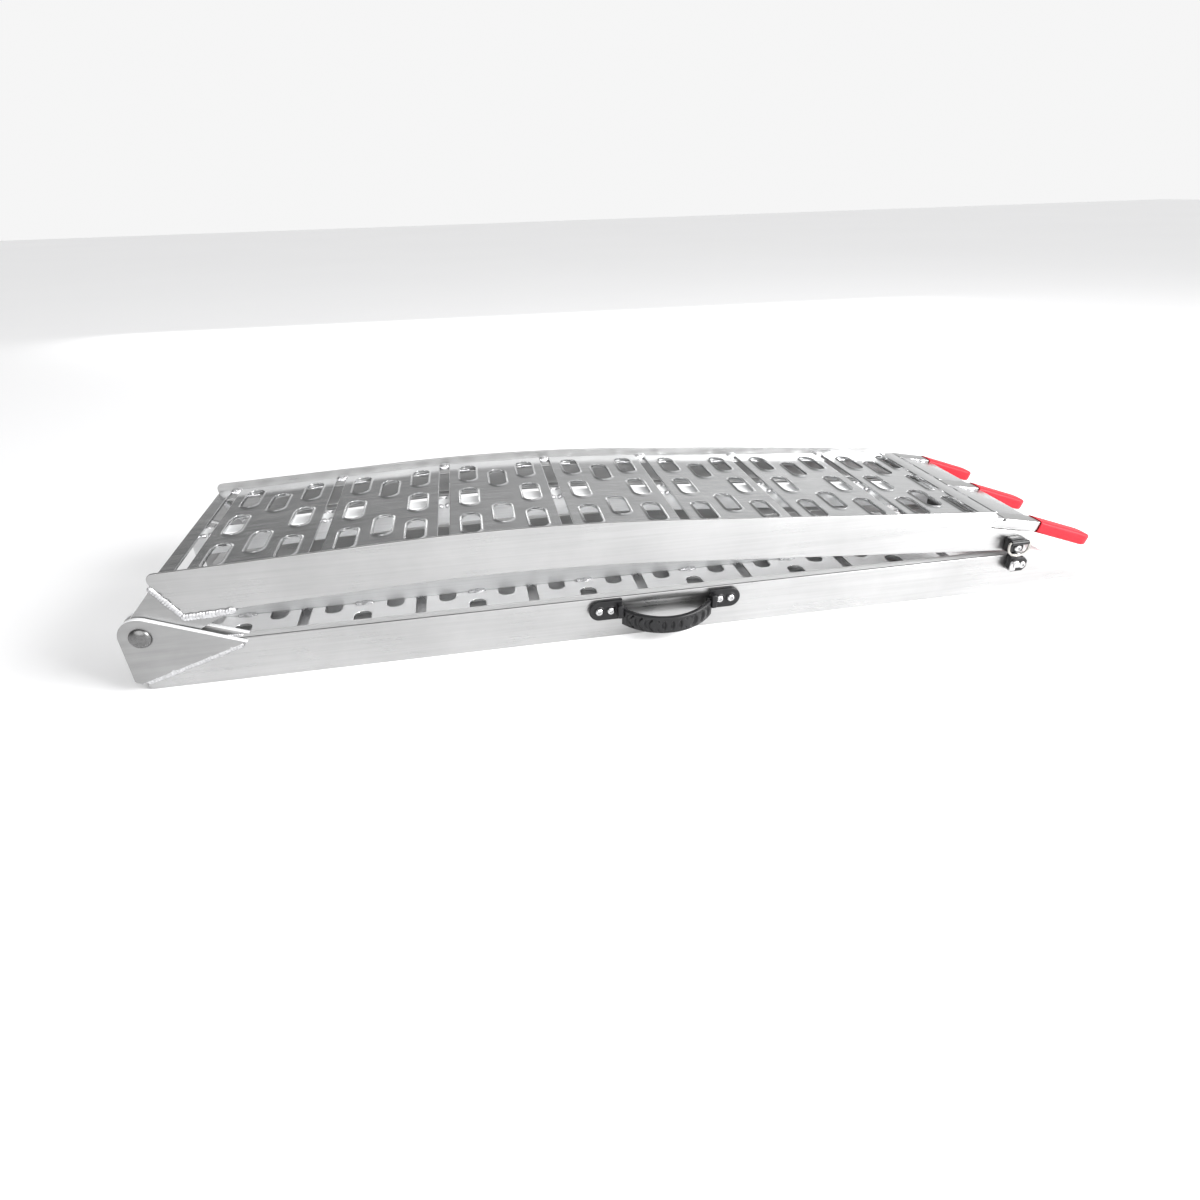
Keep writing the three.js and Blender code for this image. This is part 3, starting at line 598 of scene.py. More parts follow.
OUTER_ROW = [(-88.0, 60.0), (0.0, 60.0), (88.0, 60.0)]
STAGGERED_ROW = [(-62.0, 60.0), (62.0, 60.0)]
LAST_COLUMNS = [(-41.0, OUTER_ROW, 21.0), (-9.0, STAGGERED_ROW, 21.0), (22.0, OUTER_ROW, 12.0)]


def full_columns(start, end):
    rows = [(-38.5, OUTER_ROW, 21.0), (0.0, STAGGERED_ROW, 21.0), (38.5, OUTER_ROW, 21.0)]
    return [row for row in rows if row[0] - 14.5 > start and row[0] + 14.5 < end]


def set_underside_material(obj, arched, least, material):
    """Gives the faces under the deck a second material, the near-white one being painted light for the shaded
    space there; the lower half is stored upside down.
    """
    obj.data.materials.append(material)
    facing = -1 if arched else 1
    for face in obj.data.polygons:
        face.material_index = 1 if face.normal.z * facing > least else 0


def make_treads(label, matrix, body, arched, slots, start_x, end_x):
    """Treads with a slot between each and the next; the first and the last run on to the given ends."""
    first_slot, pitch = slots
    half, last = (pitch - SLOT_WIDTH) / 2, TREADS - 1
    whole = tread(-half, half, full_columns(-half, half))
    for bay in range(TREADS):
        middle = first_slot + (bay - 0.5) * pitch
        part = whole
        if bay in (0, last):
            low = start_x - middle if bay == 0 else -half
            high = end_x - middle if bay == last else half
            part = tread(low, high, LAST_COLUMNS if arched and bay == last else full_columns(low, high))
        sheet = stand_in(f"{label}_tread_{bay}", "sheet", [moved(part, on_deck(middle, arched))], DECK_METAL,
                         matrix, body)
        # The underside faces get the near-white metal: painted light in the shade under the deck.
        set_underside_material(sheet, arched, 0.6, UNDERSIDE_PAINTED_LIGHT_METAL)


make_treads("upper", *UPPER, True, UPPER_SLOTS, 27.0, 991.5)
make_treads("lower", *LOWER, False, LOWER_SLOTS, 2.0, 1118.0)

# ---- rails

def finger_points():
    """Side outline of a finger bar in its own sloping frame, as in the CAD model."""
    step, rear, bottom = -1.5, -19.5, -13.0
    under = lambda x: x * tan(FINGER_SLOPE) - 3.3 / cos(FINGER_SLOPE)
    c, s = cos(FINGER_DROOP), sin(FINGER_DROOP)
    turn = lambda u, v: (FINGER_BEND + u * c + v * s, v * c - u * s)
    r = (under(rear) - bottom) / 2
    points = [turn(0, 0.0), (step, 0.0), (step, under(step))]
    points += arc(rear + r, bottom + r, r, 90, 270, 10)
    return points + [turn(0, bottom), turn(0, -11.25), turn(75, -11.25), turn(75, -1.75), turn(0, -1.75)]


def tilted(points, slope):
    """Side-view points turned down by a slope."""
    c, s = cos(slope), sin(slope)
    return [(x * c + z * s, z * c - x * s) for x, z in points]


def at_lip(points):
    """Side-view points from the level deck at the lip's start to the upper section's frame."""
    x0, z0 = deck_point(LIP_START)
    return [(x0 + x, z0 + z) for x, z in tilted(points, deck_slope(LIP_START))]


def upper_wall_outline():
    steps = 36
    stations = [ARCH_START + ARCH_LENGTH * i / steps for i in range(steps + 1)]
    bottom = [(50.0, FOOT), *[deck_point(s, -42.0) for s in stations]]
    end = at_lip([(36.0, -42.0), (35.7, -33.5), (34.0, -30.6), (30.5, -28.2), (27.5, -25.4), (25.2, -20.5)])
    under = tilted(arc(-19.9 + 3.9, -9.5, 4.2, 270, 90, 10), FINGER_SLOPE)
    notch = at_lip([*tilted([(24.0, -13.4)], FINGER_SLOPE), *under, (-14.6, -3.2)])
    kerb = at_lip(arc(-24.5, 0.0, 10.0, 0, 90, 8))
    top = [deck_point(s, 10.0) for s in reversed(stations)]
    corner = arc(32.0, KERB - 7.0, 7.0, 90, 180, 6)
    return bottom + end + notch + kerb + top + corner + [(25.0, 58.0)]


def lower_wall_outline():
    taper = []
    for i in range(13):
        t = i / 12
        x = 1046 * (1 - t) ** 2 + 1098.5 * 2 * t * (1 - t) + 1135 * t ** 2
        z = 16.5 * (1 - t) ** 2 + 22.5 * 2 * t * (1 - t) + 47.5 * t ** 2
        taper.append((x, z))
    tip = [(1135.0, 61.0), (1132.5, 64.5), (1117.5, KERB)]
    return [(15.5, FOOT), *taper, *tip, *arc(-8.0, KERB - 4.0, 4.0, 90, 180, 4), (-12.0, 44.0)]


def strip(s0, s1, low, high, arched, steps=30):
    """Side outline of a flat strip that follows the deck between two heights."""
    if arched:
        middle = [ARCH_START + ARCH_LENGTH * i / steps for i in range(steps + 1)]
    else:
        middle = [s0 + (s1 - s0) * i / 12 for i in range(1, 12)]
    stations = [s0, *middle, s1]
    low_line = [deck_point(s, low, arched) for s in stations]
    return low_line + [deck_point(s, high, arched) for s in reversed(stations)]


def rail(label, matrix, body, arched, wall, ledge_ends, flange_ends, holes_near):
    for name, side in SIDES.items():
        y = side if label == "upper" else -side
        drilled = [circle(x, z, SCREW_HOLE, 16) for x, z in holes_near] if name == "near" else []
        parts = [
            across(wall, *depths(y, 0, WALL), 0.55, drilled),
            across(strip(*ledge_ends, *LEDGE_SPAN, arched), *depths(y, 1.0, LEDGE), 0.5),
            across(strip(*flange_ends, *FLANGE_SPAN, arched), *depths(y, 0.8, FLANGE), 0.5),
        ]
        parts.append(fillet(y, LEDGE_SPAN[0], -1.0, ledge_ends, arched))
        parts.append(fillet(y, FLANGE_SPAN[1], 1.0, flange_ends, arched))
        section = stand_in(f"{label}_rail_{name}", "section", parts, FRAME_METAL, matrix, body)
        # The upper rails' undersides get the near-white metal, painted light in the shade under the deck; the
        # lower rails' undersides get the satin metal.
        set_underside_material(section, arched, 0.85, UNDERSIDE_PAINTED_LIGHT_METAL if arched else SATIN_METAL)


def fillet(side, corner, rise, ends, arched):
    """The rounded inside corner between the wall and a ledge or flange."""
    radius, steps = 2.2, 30 if arched else 4
    s0, s1 = ends[0] + 1, ends[1] - 1
    rings = []
    for i in range(steps + 1):
        s = s0 + (s1 - s0) * i / steps
        ring = []
        for k in range(6):
            angle = pi / 2 * k / 5
            depth = WALL - 0.2 + radius * (1 - sin(angle))
            height = corner + rise * radius * (1 - cos(angle))
            x, z = deck_point(s, height, arched)
            ring.append((x, side * (HALF - depth), z))
        x, z = deck_point(s, corner - rise * 0.4, arched)
        ring.append((x, side * (HALF - WALL + 0.4), z))
        rings.append(ring)
    return capped(rings)


rail("upper", *UPPER, True, upper_wall_outline(), (29.0, 997.0), (51.0, 1052.0), tilted([LATCH_BOLT], FOLD_SLOPE))
lower_holes = [(x, -HANDLE_Z) for xs in SCREWS.values() for x in xs] + [(KEEPER_BOLT[0], -KEEPER_BOLT[1])]
rail("lower", *LOWER, False, lower_wall_outline(), (-10.0, 1128.0), (16.0, 1050.0), lower_holes)


def rib(name, matrix, body, s0, s1, arched):
    """Square tube under the treads, with rounded edges and open ends."""
    outer = rounded([(-12.5, -28.3), (12.5, -28.3), (12.5, -3.3), (-12.5, -3.3)], 2.4, 3)
    inner = rounded([(-10.0, -25.8), (10.0, -25.8), (10.0, -5.8), (-10.0, -5.8)], 1.2, 3)
    steps = 40 if arched else 8
    stations = [s0 + (s1 - s0) * i / steps for i in range(steps + 1)]

    def ring(loop, s):
        places = [(y, deck_point(s, height, arched)) for y, height in loop]
        return [(x, y, z) for y, (x, z) in places]

    rings = [ring(outer, s) for s in stations] + [ring(inner, s) for s in reversed(stations)]
    # The rib's light metal is partly painted light, which brightens it where it is seen in shade through the
    # holes.
    stand_in(name, "tube", [stacked(rings, close=True)], SAWN_AND_HIGHLIGHT_METAL, matrix, body)


rib("upper_centre_rib", *UPPER, 29.0, 991.0, True)
rib("lower_centre_rib", *LOWER, 26.0, 1060.0, False)

# ---- lip, fingers, end beam, ground plate

lip = on_deck(LIP_START)
crossbar = slab(rounded([(0, -INNER), (20, -INNER), (20, INNER), (0, INNER)], 0.8, 2), -3.0, 0.0, 0.6)
stand_in("end_crossbar", "strip", [moved(crossbar, on_deck(995.5))], DECK_METAL, *UPPER)

lip_frame = lip @ Matrix.Rotation(LIP_SLOPE, 4, "Y")
for name, (y0, y1) in {"near": (-113.7, -12.3), "far": (12.3, 113.7)}.items():
    plate = slab([(0, y0), (49, y0), (49, y1), (0, y1)], -3.0, 0.0, 0.7)
    stand_in(f"lip_plate_{name}", "sheet", [moved(plate, lip_frame)], DECK_METAL, *UPPER)

finger_frame = lip @ Matrix.Rotation(FINGER_SLOPE, 4, "Y")
outline = finger_points()
for name, y in FINGERS.items():
    bar = across(outline, y - 12, y + 12, 1.1, steps=4)
    stand_in(f"finger_bar_{name}", "flat", [moved(bar, finger_frame)], FRAME_METAL, *UPPER)

beam = across(rounded([(27, -32.3), (43, -32.3), (43, -13.3), (27, -13.3)], 2.0, 3), -136, 136, 0.5)
stand_in("end_beam", "box", [moved(beam, finger_frame)], FRAME_METAL, *UPPER)


def sleeve_part():
    """A dipped sock: a flat tongue with a round tip, soft edges and a rolled mouth."""
    width, thick, start, length = 28.0, 16.0, 1.0, 88.0
    half = width / 2
    middle = -6.5
    section_steps = 40
    stations = [start + 1.4, start + 3.0]
    stations += [start + 3.0 + (length - half - start - 3.0) * i / 14 for i in range(1, 15)]
    stations += [length - half + half * sin(pi / 2 * i / 12) for i in range(1, 12)]

    def loop(x, shrink=0.0, square=5.0):
        reach = half
        if x > length - half:
            reach = half * sqrt(max(1 - ((x - length + half) / half) ** 2, 0.0004)) ** 0.9
        swell = 0.35 * noise.noise(Vector((x * 0.05, 2.0, 0.3)))
        a = max(reach - shrink + min(swell, 0.0), 0.15)
        squeeze = 1.0 if x < length - half else 0.55 + 0.45 * (reach / half) ** 0.6
        b = (thick / 2 - shrink) * squeeze
        out = []
        for k in range(section_steps):
            angle = 2 * pi * k / section_steps
            c, s = cos(angle), sin(angle)
            y = a * copysign(abs(c) ** (2 / square), c)
            z = b * copysign(abs(s) ** (2 / square), s)
            out.append((x, y, middle + z))
        return out

    rings = [loop(start + 4.0, 2.4, 9.0), loop(start + 0.6, 1.7, 8.0), loop(start, 1.2, 6.0)]
    rings += [loop(start + 0.15, 0.35), loop(start + 0.9, 0.0)]
    rings += [loop(x) for x in stations]
    verts, faces = stacked(rings)
    tip = len(verts)
    verts.append((length - 0.05, 0.0, middle))
    last = tip - section_steps
    faces += [(last + k, last + (k + 1) % section_steps, tip) for k in range(section_steps)]
    faces.append(tuple(range(section_steps)))
    return verts, faces


droop = Matrix.Translation((FINGER_BEND, 0, 0)) @ Matrix.Rotation(FINGER_DROOP, 4, "Y")
sock = sleeve_part()
for name, y in FINGERS.items():
    place = finger_frame @ Matrix.Translation((0, y, 0)) @ droop
    stand_in(f"finger_sleeve_{name}", "sock", [moved(sock, place)], RED, *UPPER, 50)

ground_line = [(1062.0, 22.4), (1096.0, 30.3), (1131.0, 45.7)]
ground_back = [(x - 0.8, z + 3.5) for x, z in reversed(ground_line)]
ground = across(rounded(ground_line + ground_back, 1.2, 3), -INNER, INNER, 0.4)
# The plate's upper faces get the near-white metal: painted light where they are seen in shade through the holes.
set_underside_material(stand_in("ground_plate", "bent", [ground], DECK_METAL, *LOWER), False, 0.4, UNDERSIDE_PAINTED_LIGHT_METAL)

# ---- hinge

def tangent_plate(radius, tip, corners, start):
    """Round the pin, then straight to a tip and back round the given corners."""
    end = degrees(atan2(tip[1], tip[0]) - acos(radius / hypot(*tip))) + 360
    return [tip, *corners, *arc(0, 0, radius, start, end, 28)]


pin_hole = circle(0, 0, PIN_HOLE, 32)
heel = sqrt(22.5 ** 2 - 16.2 ** 2)
OUTER_PLATE = tangent_plate(22.5, (104.0, 18.5),
                            [(-11.5, 56.2), (-14.5, 57.0), (-20.2, 54.8), (-21.6, 52.5)], 180)
INNER_PLATE = tangent_plate(22.5, (103.0, 16.2), [(heel, 16.2)], degrees(atan2(16.2, heel)))


def tongue_outline():
    steep = 41.5 / 25.0
    on_cut = lambda z: 25.0 + (58.0 - z) / steep - 0.36
    diagonal = 19.0 * sqrt(2)
    top = (25.0 + 58.0 / steep - 0.36 + diagonal) / (1 + 1 / steep)
    points = [(101.0, 16.2), (on_cut(16.2), 16.2), (on_cut(top), top)]
    return points + arc(0, 0, 19.0, 135, 286, 24) + [(57.5, -2.9)]


TONGUE = tongue_outline()
DOME = [(0.0, 5.0)] + [(11.5 * sin(a), 5.0 * cos(a)) for a in (0.25, 0.5, 0.75, 1.0, 1.2, 1.38, 1.5)]
PIN = DOME + [(11.5, 0.25), (11.2, 0.0), (7.0, 0.0), (7.0, -32.1), (6.0, -33.1), (0.0, -33.1)]
WASHER = [(7.3, 0.0), (12.6, 0.0), (13.0, 0.35), (13.0, 1.65), (12.6, 2.0), (7.3, 2.0), (7.3, 0.0)]
NUT = [(7.35, 0.0), (11.0, 0.0), (12.4, 0.9), (12.4, 6.1), (11.0, 7.0), (7.8, 7.0), (7.35, 6.5), (7.35, 0.0)]
NUT_FLATS = [(i, 10.74) for i in (1, 2, 3, 4)]
PLATES = [("outer", OUTER_PLATE, (-6.3, -0.3), 0.8), ("inner", INNER_PLATE, (8.8, 14.8), 0.6)]
HARDWARE = [
    ("pin", "turned", lathe(PIN, 40), PIN_STEEL, -6.6),
    ("washer", "flat", lathe(WASHER, 40), BRIGHT_STEEL, 17.1),
    ("nut", "hex", lathe(NUT, 48, NUT_FLATS), BRIGHT_STEEL, 24.4),
]


def cut_edges(plate):
    """Gives a plate's sawn edges their own rougher, lighter finish; the lightness is partly a painted highlight.
    """
    plate.data.materials.append(SAWN_AND_HIGHLIGHT_METAL)
    for face in plate.data.polygons:
        face.material_index = 1 if abs(face.normal.y) < 0.75 else 0


def facing_out(side, depth):
    """Matrix that stands a Z-axis part on a rail's outer face, pointing out, at a depth inside it."""
    return Matrix.Translation((0, side * (HALF - depth), 0)) @ Matrix.Rotation(-side * pi / 2, 4, "X")


for name, near_side in SIDES.items():
    side = -near_side
    for layer, plan, span, edge in PLATES:
        plate = across(plan, *depths(side, *span), edge, [pin_hole])
        cut_edges(stand_in(f"hinge_plate_{layer}_{name}", "cut", [plate], PLATE_METAL, *LOWER))
    blade = across(TONGUE, *depths(near_side, 0.4, 8.4), 0.7, [pin_hole])
    cut_edges(stand_in(f"upper_hinge_tongue_{name}", "cut", [blade], PLATE_METAL, *UPPER))
    for part, suffix, turned, metal, depth in HARDWARE:
        stand_in(f"hinge_{part}_{name}", suffix, [moved(turned, facing_out(side, depth))], metal, *LOWER)

# ---- carrying handle

def outwards(a, b):
    return -HALF - b, -HALF - a


def handle_pad(side):
    end, inner, face = PADS[side]
    r = 12.5
    centre = end + face * r
    sweep = (90, 270) if face > 0 else (90, -90)
    outline = arc(centre, HANDLE_Z, r, *sweep, 18) + [(inner, HANDLE_Z - r), (inner, HANDLE_Z + r)]
    holes = [circle(x, HANDLE_Z, SCREW_HOLE, 20) for x in SCREWS[side]]
    plate = across(outline, *outwards(0.3, 6.3), 1.3, holes, 4)
    ring = [(3.3, 0.0), (6.6, 0.0), (6.2, 0.5), (5.6, 0.7), (5.2, 0.5), (5.0, 0.1), (3.3, 0.1), (3.3, 0.0)]
    bosses = [moved(lathe(ring, 28), screw_place(x, HANDLE_Z, 6.25)) for x in SCREWS[side]]
    x0, x1 = sorted((inner - face * 6.7, inner))
    block = across(rounded([(x0, -38), (x1, -38), (x1, -21), (x0, -21)], 2.0, 3), *outwards(0.3, 15.0), 1.6, (), 4)
    return [plate, block, *bosses]


def groove(u, v):
    """Depth of the moulded pattern on the grip's face, at u along it and v up it."""
    depth = 0.0
    soft = lambda d, width: min(max(0.5 - d / width, 0.0), 1.0)
    for centre in (-9.5, 0.0, 9.5):
        d = hypot((u - centre) / 2.1, v / 5.4) - 1.0
        depth = max(depth, 1.5 * soft(d * 2.1, 1.2))
    for sign in (-1, 1):
        for centre, radius in ((24.0, 8.0), (35.5, 8.6), (46.0, 9.0)):
            away = sign * u - centre
            ringed = hypot(away, v) - radius
            bite = radius - 1.0 - hypot(away + 4.4, v)
            d = max(ringed, bite, -away - 1.0)
            depth = max(depth, 1.6 * soft(d, 1.2))
        for lift in (-6.2, 6.2):
            d = hypot(sign * u - 16.2, v - lift) - 1.1
            depth = max(depth, 1.0 * soft(d, 0.9))
    return 1.5 * depth


def handle_grip():
    """Bowed strap with moulded finger grooves on its face and soft edges."""
    axis = -HALF - 9.5
    x0, x1, bow, thick, height, top = 523.6, 629.4, 25.0, 5.5, 23.0, 3.5
    half = (x1 - x0) / 2
    radius = (half * half + bow * bow) / (2 * bow)
    sweep = asin(half / radius)
    rows, columns = 40, 190
    section = [(thick / 2, height * (k / rows - 0.5)) for k in range(rows + 1)]
    section += [(thick / 2 - thick * k / 4, height / 2) for k in range(1, 4)]
    section += [(-thick / 2, height * (0.5 - k / 12)) for k in range(13)]
    section += [(-thick / 2 + thick * k / 4, -height / 2) for k in range(1, 4)]
    rings = []
    for i in range(columns + 1):
        angle = -sweep + 2 * sweep * i / columns
        u = radius * angle
        edge = min(1.0, (sweep * radius - abs(u)) / 2.0)
        ring = []
        for n, v in section:
            corner = 1.7
            over_n = max(abs(n) - (thick / 2 - corner), 0.0)
            over_v = max(abs(v) - (height / 2 - corner), 0.0)
            d = hypot(over_n, over_v)
            if d > corner:
                n = copysign(thick / 2 - corner + over_n * corner / d, n)
                v = copysign(height / 2 - corner + over_v * corner / d, v)
            if n > thick / 2 - 0.3:
                n -= groove(u, v * 0.96) * edge
                rim = abs(v) / (height / 2)
                n += 0.35 * max(0.0, rim - 0.78) / 0.22 * (1 if rim < 0.93 else 0)
            reach = radius + n
            x = (x0 + x1) / 2 + reach * sin(angle)
            y = radius - bow - reach * cos(angle)
            ring.append((x, y, v + top - height / 2))
        rings.append(ring)
    parts = [capped(rings)]
    for a, b in ((x0 - 6.3, x0 + 4.0), (x1 - 4.0, x1 + 6.3)):
        parts.append(tube([(a + (b - a) * t / 4, 0.0, 0.0) for t in range(5)], 3.45, 20))
        middle = x0 + 1.4 if a < x0 else x1 - 3.2
        knuckle = across(rounded([(middle - 1.2, -15.5), (middle + 3.0, -15.5), (middle + 3.0, 3.2),
                                  (middle - 1.2, 3.2)], 1.0, 2), -3.4, 3.4, 1.2)
        parts.append(knuckle)
    place = Matrix.Translation((0, axis, HANDLE_Z)) @ Matrix.Rotation(radians(9), 4, "X")
    return [moved(part, place) for part in parts]


def screw_head(radius, height, socket, length):
    """A domed head with a hexagon socket, and its shank."""
    profile = [(0.0, height * 0.35), (socket, height * 0.35), (socket, height * 0.98), (socket + 0.35, height)]
    profile += [(radius * 0.62, height * 0.93), (radius * 0.82, height * 0.74), (radius * 0.95, height * 0.42)]
    profile += [(radius, 0.25), (radius * 0.97, 0.0), (2.9, 0.0), (2.9, -length), (0.0, -length)]
    return lathe(profile, 36, [(1, socket * 0.87), (2, socket * 0.87)])


def screw_place(x, z, seat):
    return Matrix.Translation((x, -HALF - seat, z)) @ Matrix.Rotation(pi / 2, 4, "X")


for side in PADS:
    stand_in(f"handle_bracket_{side}", "moulding", handle_pad(side), BLACK, FOLDED, "lower_half")
    for i, x in enumerate(SCREWS[side], 1):
        head = moved(screw_head(4.8, 3.0, 2.1, 12.0), screw_place(x, HANDLE_Z, 6.3))
        stand_in(f"handle_screw_{side}_{i}", "domed", [head], BRIGHT_STEEL, FOLDED, "lower_half")
stand_in("handle_grip", "moulding", handle_grip(), BLACK, FOLDED, "grip", 50)

# ---- latch

def latch_base():
    hole = circle(*LATCH_BOLT, SCREW_HOLE, 20)
    face = rounded([(1016, -9), (1038, -9), (1038, 10), (1016, 10)], 3.4, 5)
    plate = across(face, *outwards(0.3, 9.0), 1.4, [hole], 4)
    y, z = LATCH_AXIS
    barrel = tube([(1017.2 + (1040.3 - 1017.2) * t / 6, y, z) for t in range(7)], 3.0, 22)
    web = across(rounded([(1017.5, 2.0), (1040.0, 2.0), (1040.0, 8.0), (1017.5, 8.0)], 1.0, 3),
                 -HALF - 12.0, -HALF - 7.5, 0.5)
    return [plate, barrel, web]


def bail_wire():
    y, z = LATCH_AXIS
    low, left, right = -12.5, 1015.0, 1042.5
    start = [(left + 5, y, z), (left + 1.6, y, z), (left, y, z - 1.6), (left, y, low + 11)]
    bottom = [(x, y, h) for x, h in arc((left + right) / 2, low + 11, (right - left) / 2, 200, 340, 9)]
    bottom = [(x, y, low + 11 + (h - low - 11) * 11 / ((right - left) / 2)) for x, y, h in bottom]
    end = [(left + right - x, y, h) for x, y, h in reversed(start)]
    return tube(smooth_path(start + bottom + end, 6), 1.5, 16)


def keeper_base():
    outline = [(1024, -32), (1029, -37), (1044, -37), (1049, -32), (1049, -23), (1044, -18), (1033, -18),
               (1033, -10.8), (1024, -10.8)]
    hole = circle(*KEEPER_BOLT, SCREW_HOLE, 20)
    return [across(rounded(outline, 1.8, 3), *outwards(0.3, 9.0), 1.2, [hole], 4)]


def keeper_hook():
    """Bent steel tab, open downwards."""
    seat = -HALF - 9.3
    middle = [(seat - 1.1, -34.0), (seat - 1.1, -24.0), (seat - 1.5, -22.3), (seat - 3.0, -21.1),
              (seat - 5.0, -21.1), (seat - 6.5, -22.3), (seat - 6.9, -24.0), (seat - 6.9, -27.0)]
    left, right = [], []
    for i, (y, z) in enumerate(middle):
        a, b = middle[max(i - 1, 0)], middle[min(i + 1, len(middle) - 1)]
        d = Vector((b[0] - a[0], b[1] - a[1])).normalized()
        left.append((y - d.y * 1.1, z + d.x * 1.1))
        right.append((y + d.y * 1.1, z - d.x * 1.1))
    verts, faces = slab(left + right[::-1], 1024.5, 1032.0, 0.45)
    return [(height, y, z) for y, z, height in verts], faces


bolt = screw_head(4.8, 3.0, 2.1, 15.0)
stand_in("latch_base", "moulding", latch_base(), BLACK, FOLDED, "upper_half")
stand_in("latch_bolt", "domed", [moved(bolt, screw_place(*LATCH_BOLT, 9.3))], BRIGHT_STEEL, FOLDED, "upper_half")
stand_in("latch_bail", "wire", [bail_wire()], WIRE_STEEL, FOLDED, "bail", 60)
stand_in("keeper_base", "moulding", keeper_base(), BLACK, FOLDED, "lower_half")
stand_in("keeper_hook", "bent", [keeper_hook()], BRIGHT_STEEL, FOLDED, "lower_half")
stand_in("keeper_bolt", "domed", [moved(bolt, screw_place(*KEEPER_BOLT, 9.3))], BRIGHT_STEEL, FOLDED, "lower_half")

# ---- weld beads

def deck_welds(slots, arched):
    """Blobs at both ends of every slot and where the rib crosses it."""
    first_slot, pitch = slots
    parts = []
    for k in range(TREADS - 1):
        place = on_deck(first_slot + k * pitch, arched)
        for side in (-1, 1):
            seed = k * 1.7 + side * 0.6
            tacks = [
                blob((0.5 * side, side * (INNER - 1.5), -2.2), (8.0, 6.0), 4.6, (0, -side * 0.8, 1), seed),
                blob((3.8, side * 12.6, -3.6), (3.6, 3.4), 2.6, (-0.4, side * 0.5, 1), seed + 5),
                blob((-4.2, side * 12.4, -3.8), (3.2, 3.0), 2.2, (0.4, side * 0.5, 1), seed + 9),
            ]
            parts += [moved(tack, place) for tack in tacks]
    return parts


def under_welds(slots, arched, bays):
    """Short beads and a lumpy tack between the rib and each tread's underside, and along the ledges."""
    first_slot, pitch = slots
    parts = []
    for bay in bays:
        place = on_deck(first_slot + (bay - 0.5) * pitch, arched)
        for side in (-1, 1):
            seed = bay * 2.3 + side
            line = [(-12.0, side * 13.6, -3.8), (12.0, side * 13.6, -3.8)]
            runs = [
                bead(line, 6.0, 2.6, (0, side, -1.2), seed),
                blob((1.5, side * 14.0, -3.6), (6.5, 5.0), 3.4, (0, side, -1.4), seed),
            ]
            for x in (-44.0, 44.0):
                line = [(x - 9, side * 112.2, -3.6), (x + 9, side * 112.2, -3.6)]
                runs.append(bead(line, 4.5, 1.8, (0, -side, -0.6), seed + x))
            parts += [moved(run, place) for run in runs]
    return parts


def welds(name, parts, matrix, body):
    piece(name, parts, WELD, matrix, body, sharp=60)


welds("upper_deck_welds", deck_welds(UPPER_SLOTS, True) + under_welds(UPPER_SLOTS, True, range(1, TREADS)), *UPPER)
welds("lower_deck_welds", deck_welds(LOWER_SLOTS, False) + under_welds(LOWER_SLOTS, False, range(TREADS)), *LOWER)


def tongue_welds(side):
    """Along the slanting end and the foot of the upper rail, on both faces."""
    parts = []
    for depth, up in ((0.2, side), (8.3, -side)):
        y = side * (HALF - depth)
        seam = [(23.5, y, 54.0), (35.0, y, 34.5), (46.5, y, 15.5)]
        foot = [(44.0, y, 13.8), (75.0, y, 13.6), (101.0, y, 14.6)]
        parts.append(bead(seam, 7.5, 2.0, (-0.25, up, -0.1), side * 3.0 + depth, 3.0))
        parts.append(bead(foot, 8.5, 2.6, (0, up, -0.25), side * 5.0 + depth, 3.4))
    return parts


def plate_welds(side):
    """The fillet along the outer plate's sloping edge, and the inner plate's foot on the flange."""
    y = side * (HALF + 2.6)
    edge = [(-11.0, y, 58.0), (45.0, y, 40.2), (99.0, y, 22.6)]
    parts = [bead(edge, 9.5, 2.8, (0.2, side * 0.75, 0.62), side * 2.0, 3.4)]
    for depth, up in ((8.6, side), (15.0, -side)):
        y = side * (HALF - depth)
        parts.append(bead([(24.0, y, 16.4), (98.0, y, 16.4)], 4.5, 1.8, (0, up, -0.8), side + depth))
    return parts


welds("hinge_tongue_welds", tongue_welds(-1) + tongue_welds(1), *UPPER)
welds("hinge_plate_welds", plate_welds(-1) + plate_welds(1), *LOWER)


def lip_welds():
    """Bridges across the crossbar's two gaps, and beads along the fingers."""
    parts = []
    for x, spots in ((-24.5, (-72, -62, -30, 25, 60, 118)), (-1.3, (-50, -40, -18, 30, 84, 96))):
        for i, y in enumerate(spots):
            parts.append(blob((x, y, -1.2), (4.6, 6.5), 1.5, (0, 0, 1), i * 1.3 + x))
    turn = Matrix.Rotation(FINGER_SLOPE, 4, "Y")
    for y in FINGERS.values():
        for side in (-1, 1):
            at = y + side * 12.1
            if abs(at) < 130:
                line = [tuple(turn @ Vector((x, at, -0.6))) for x in (4, 22, 44)]
                parts.append(bead(line, 3.0, 0.8, (0.1, 0, 1), y + side))
    return [moved(part, lip) for part in parts]


welds("lip_welds", lip_welds(), *UPPER)

# ---- studio

def studio_floor_sheet():
    mesh = bpy.data.meshes.new("studio_floor")
    bm = bmesh.new()
    bmesh.ops.create_grid(bm, x_segments=12, y_segments=12, size=14.0)
    bm.to_mesh(mesh)
    bm.free()
    mesh.materials.append(studio_floor())
    obj = placed("studio_floor", mesh)
    obj.location.z = -0.0004


def area_light(name, place, aim, size, power):
    light = bpy.data.lights.new(name, "AREA")
    light.shape = "RECTANGLE"
    light.size, light.size_y = size
    light.energy = power
    obj = placed(name, light)
    obj.location = place
    obj.rotation_euler = (Vector(aim) - Vector(place)).to_track_quat("-Z", "Y").to_euler()


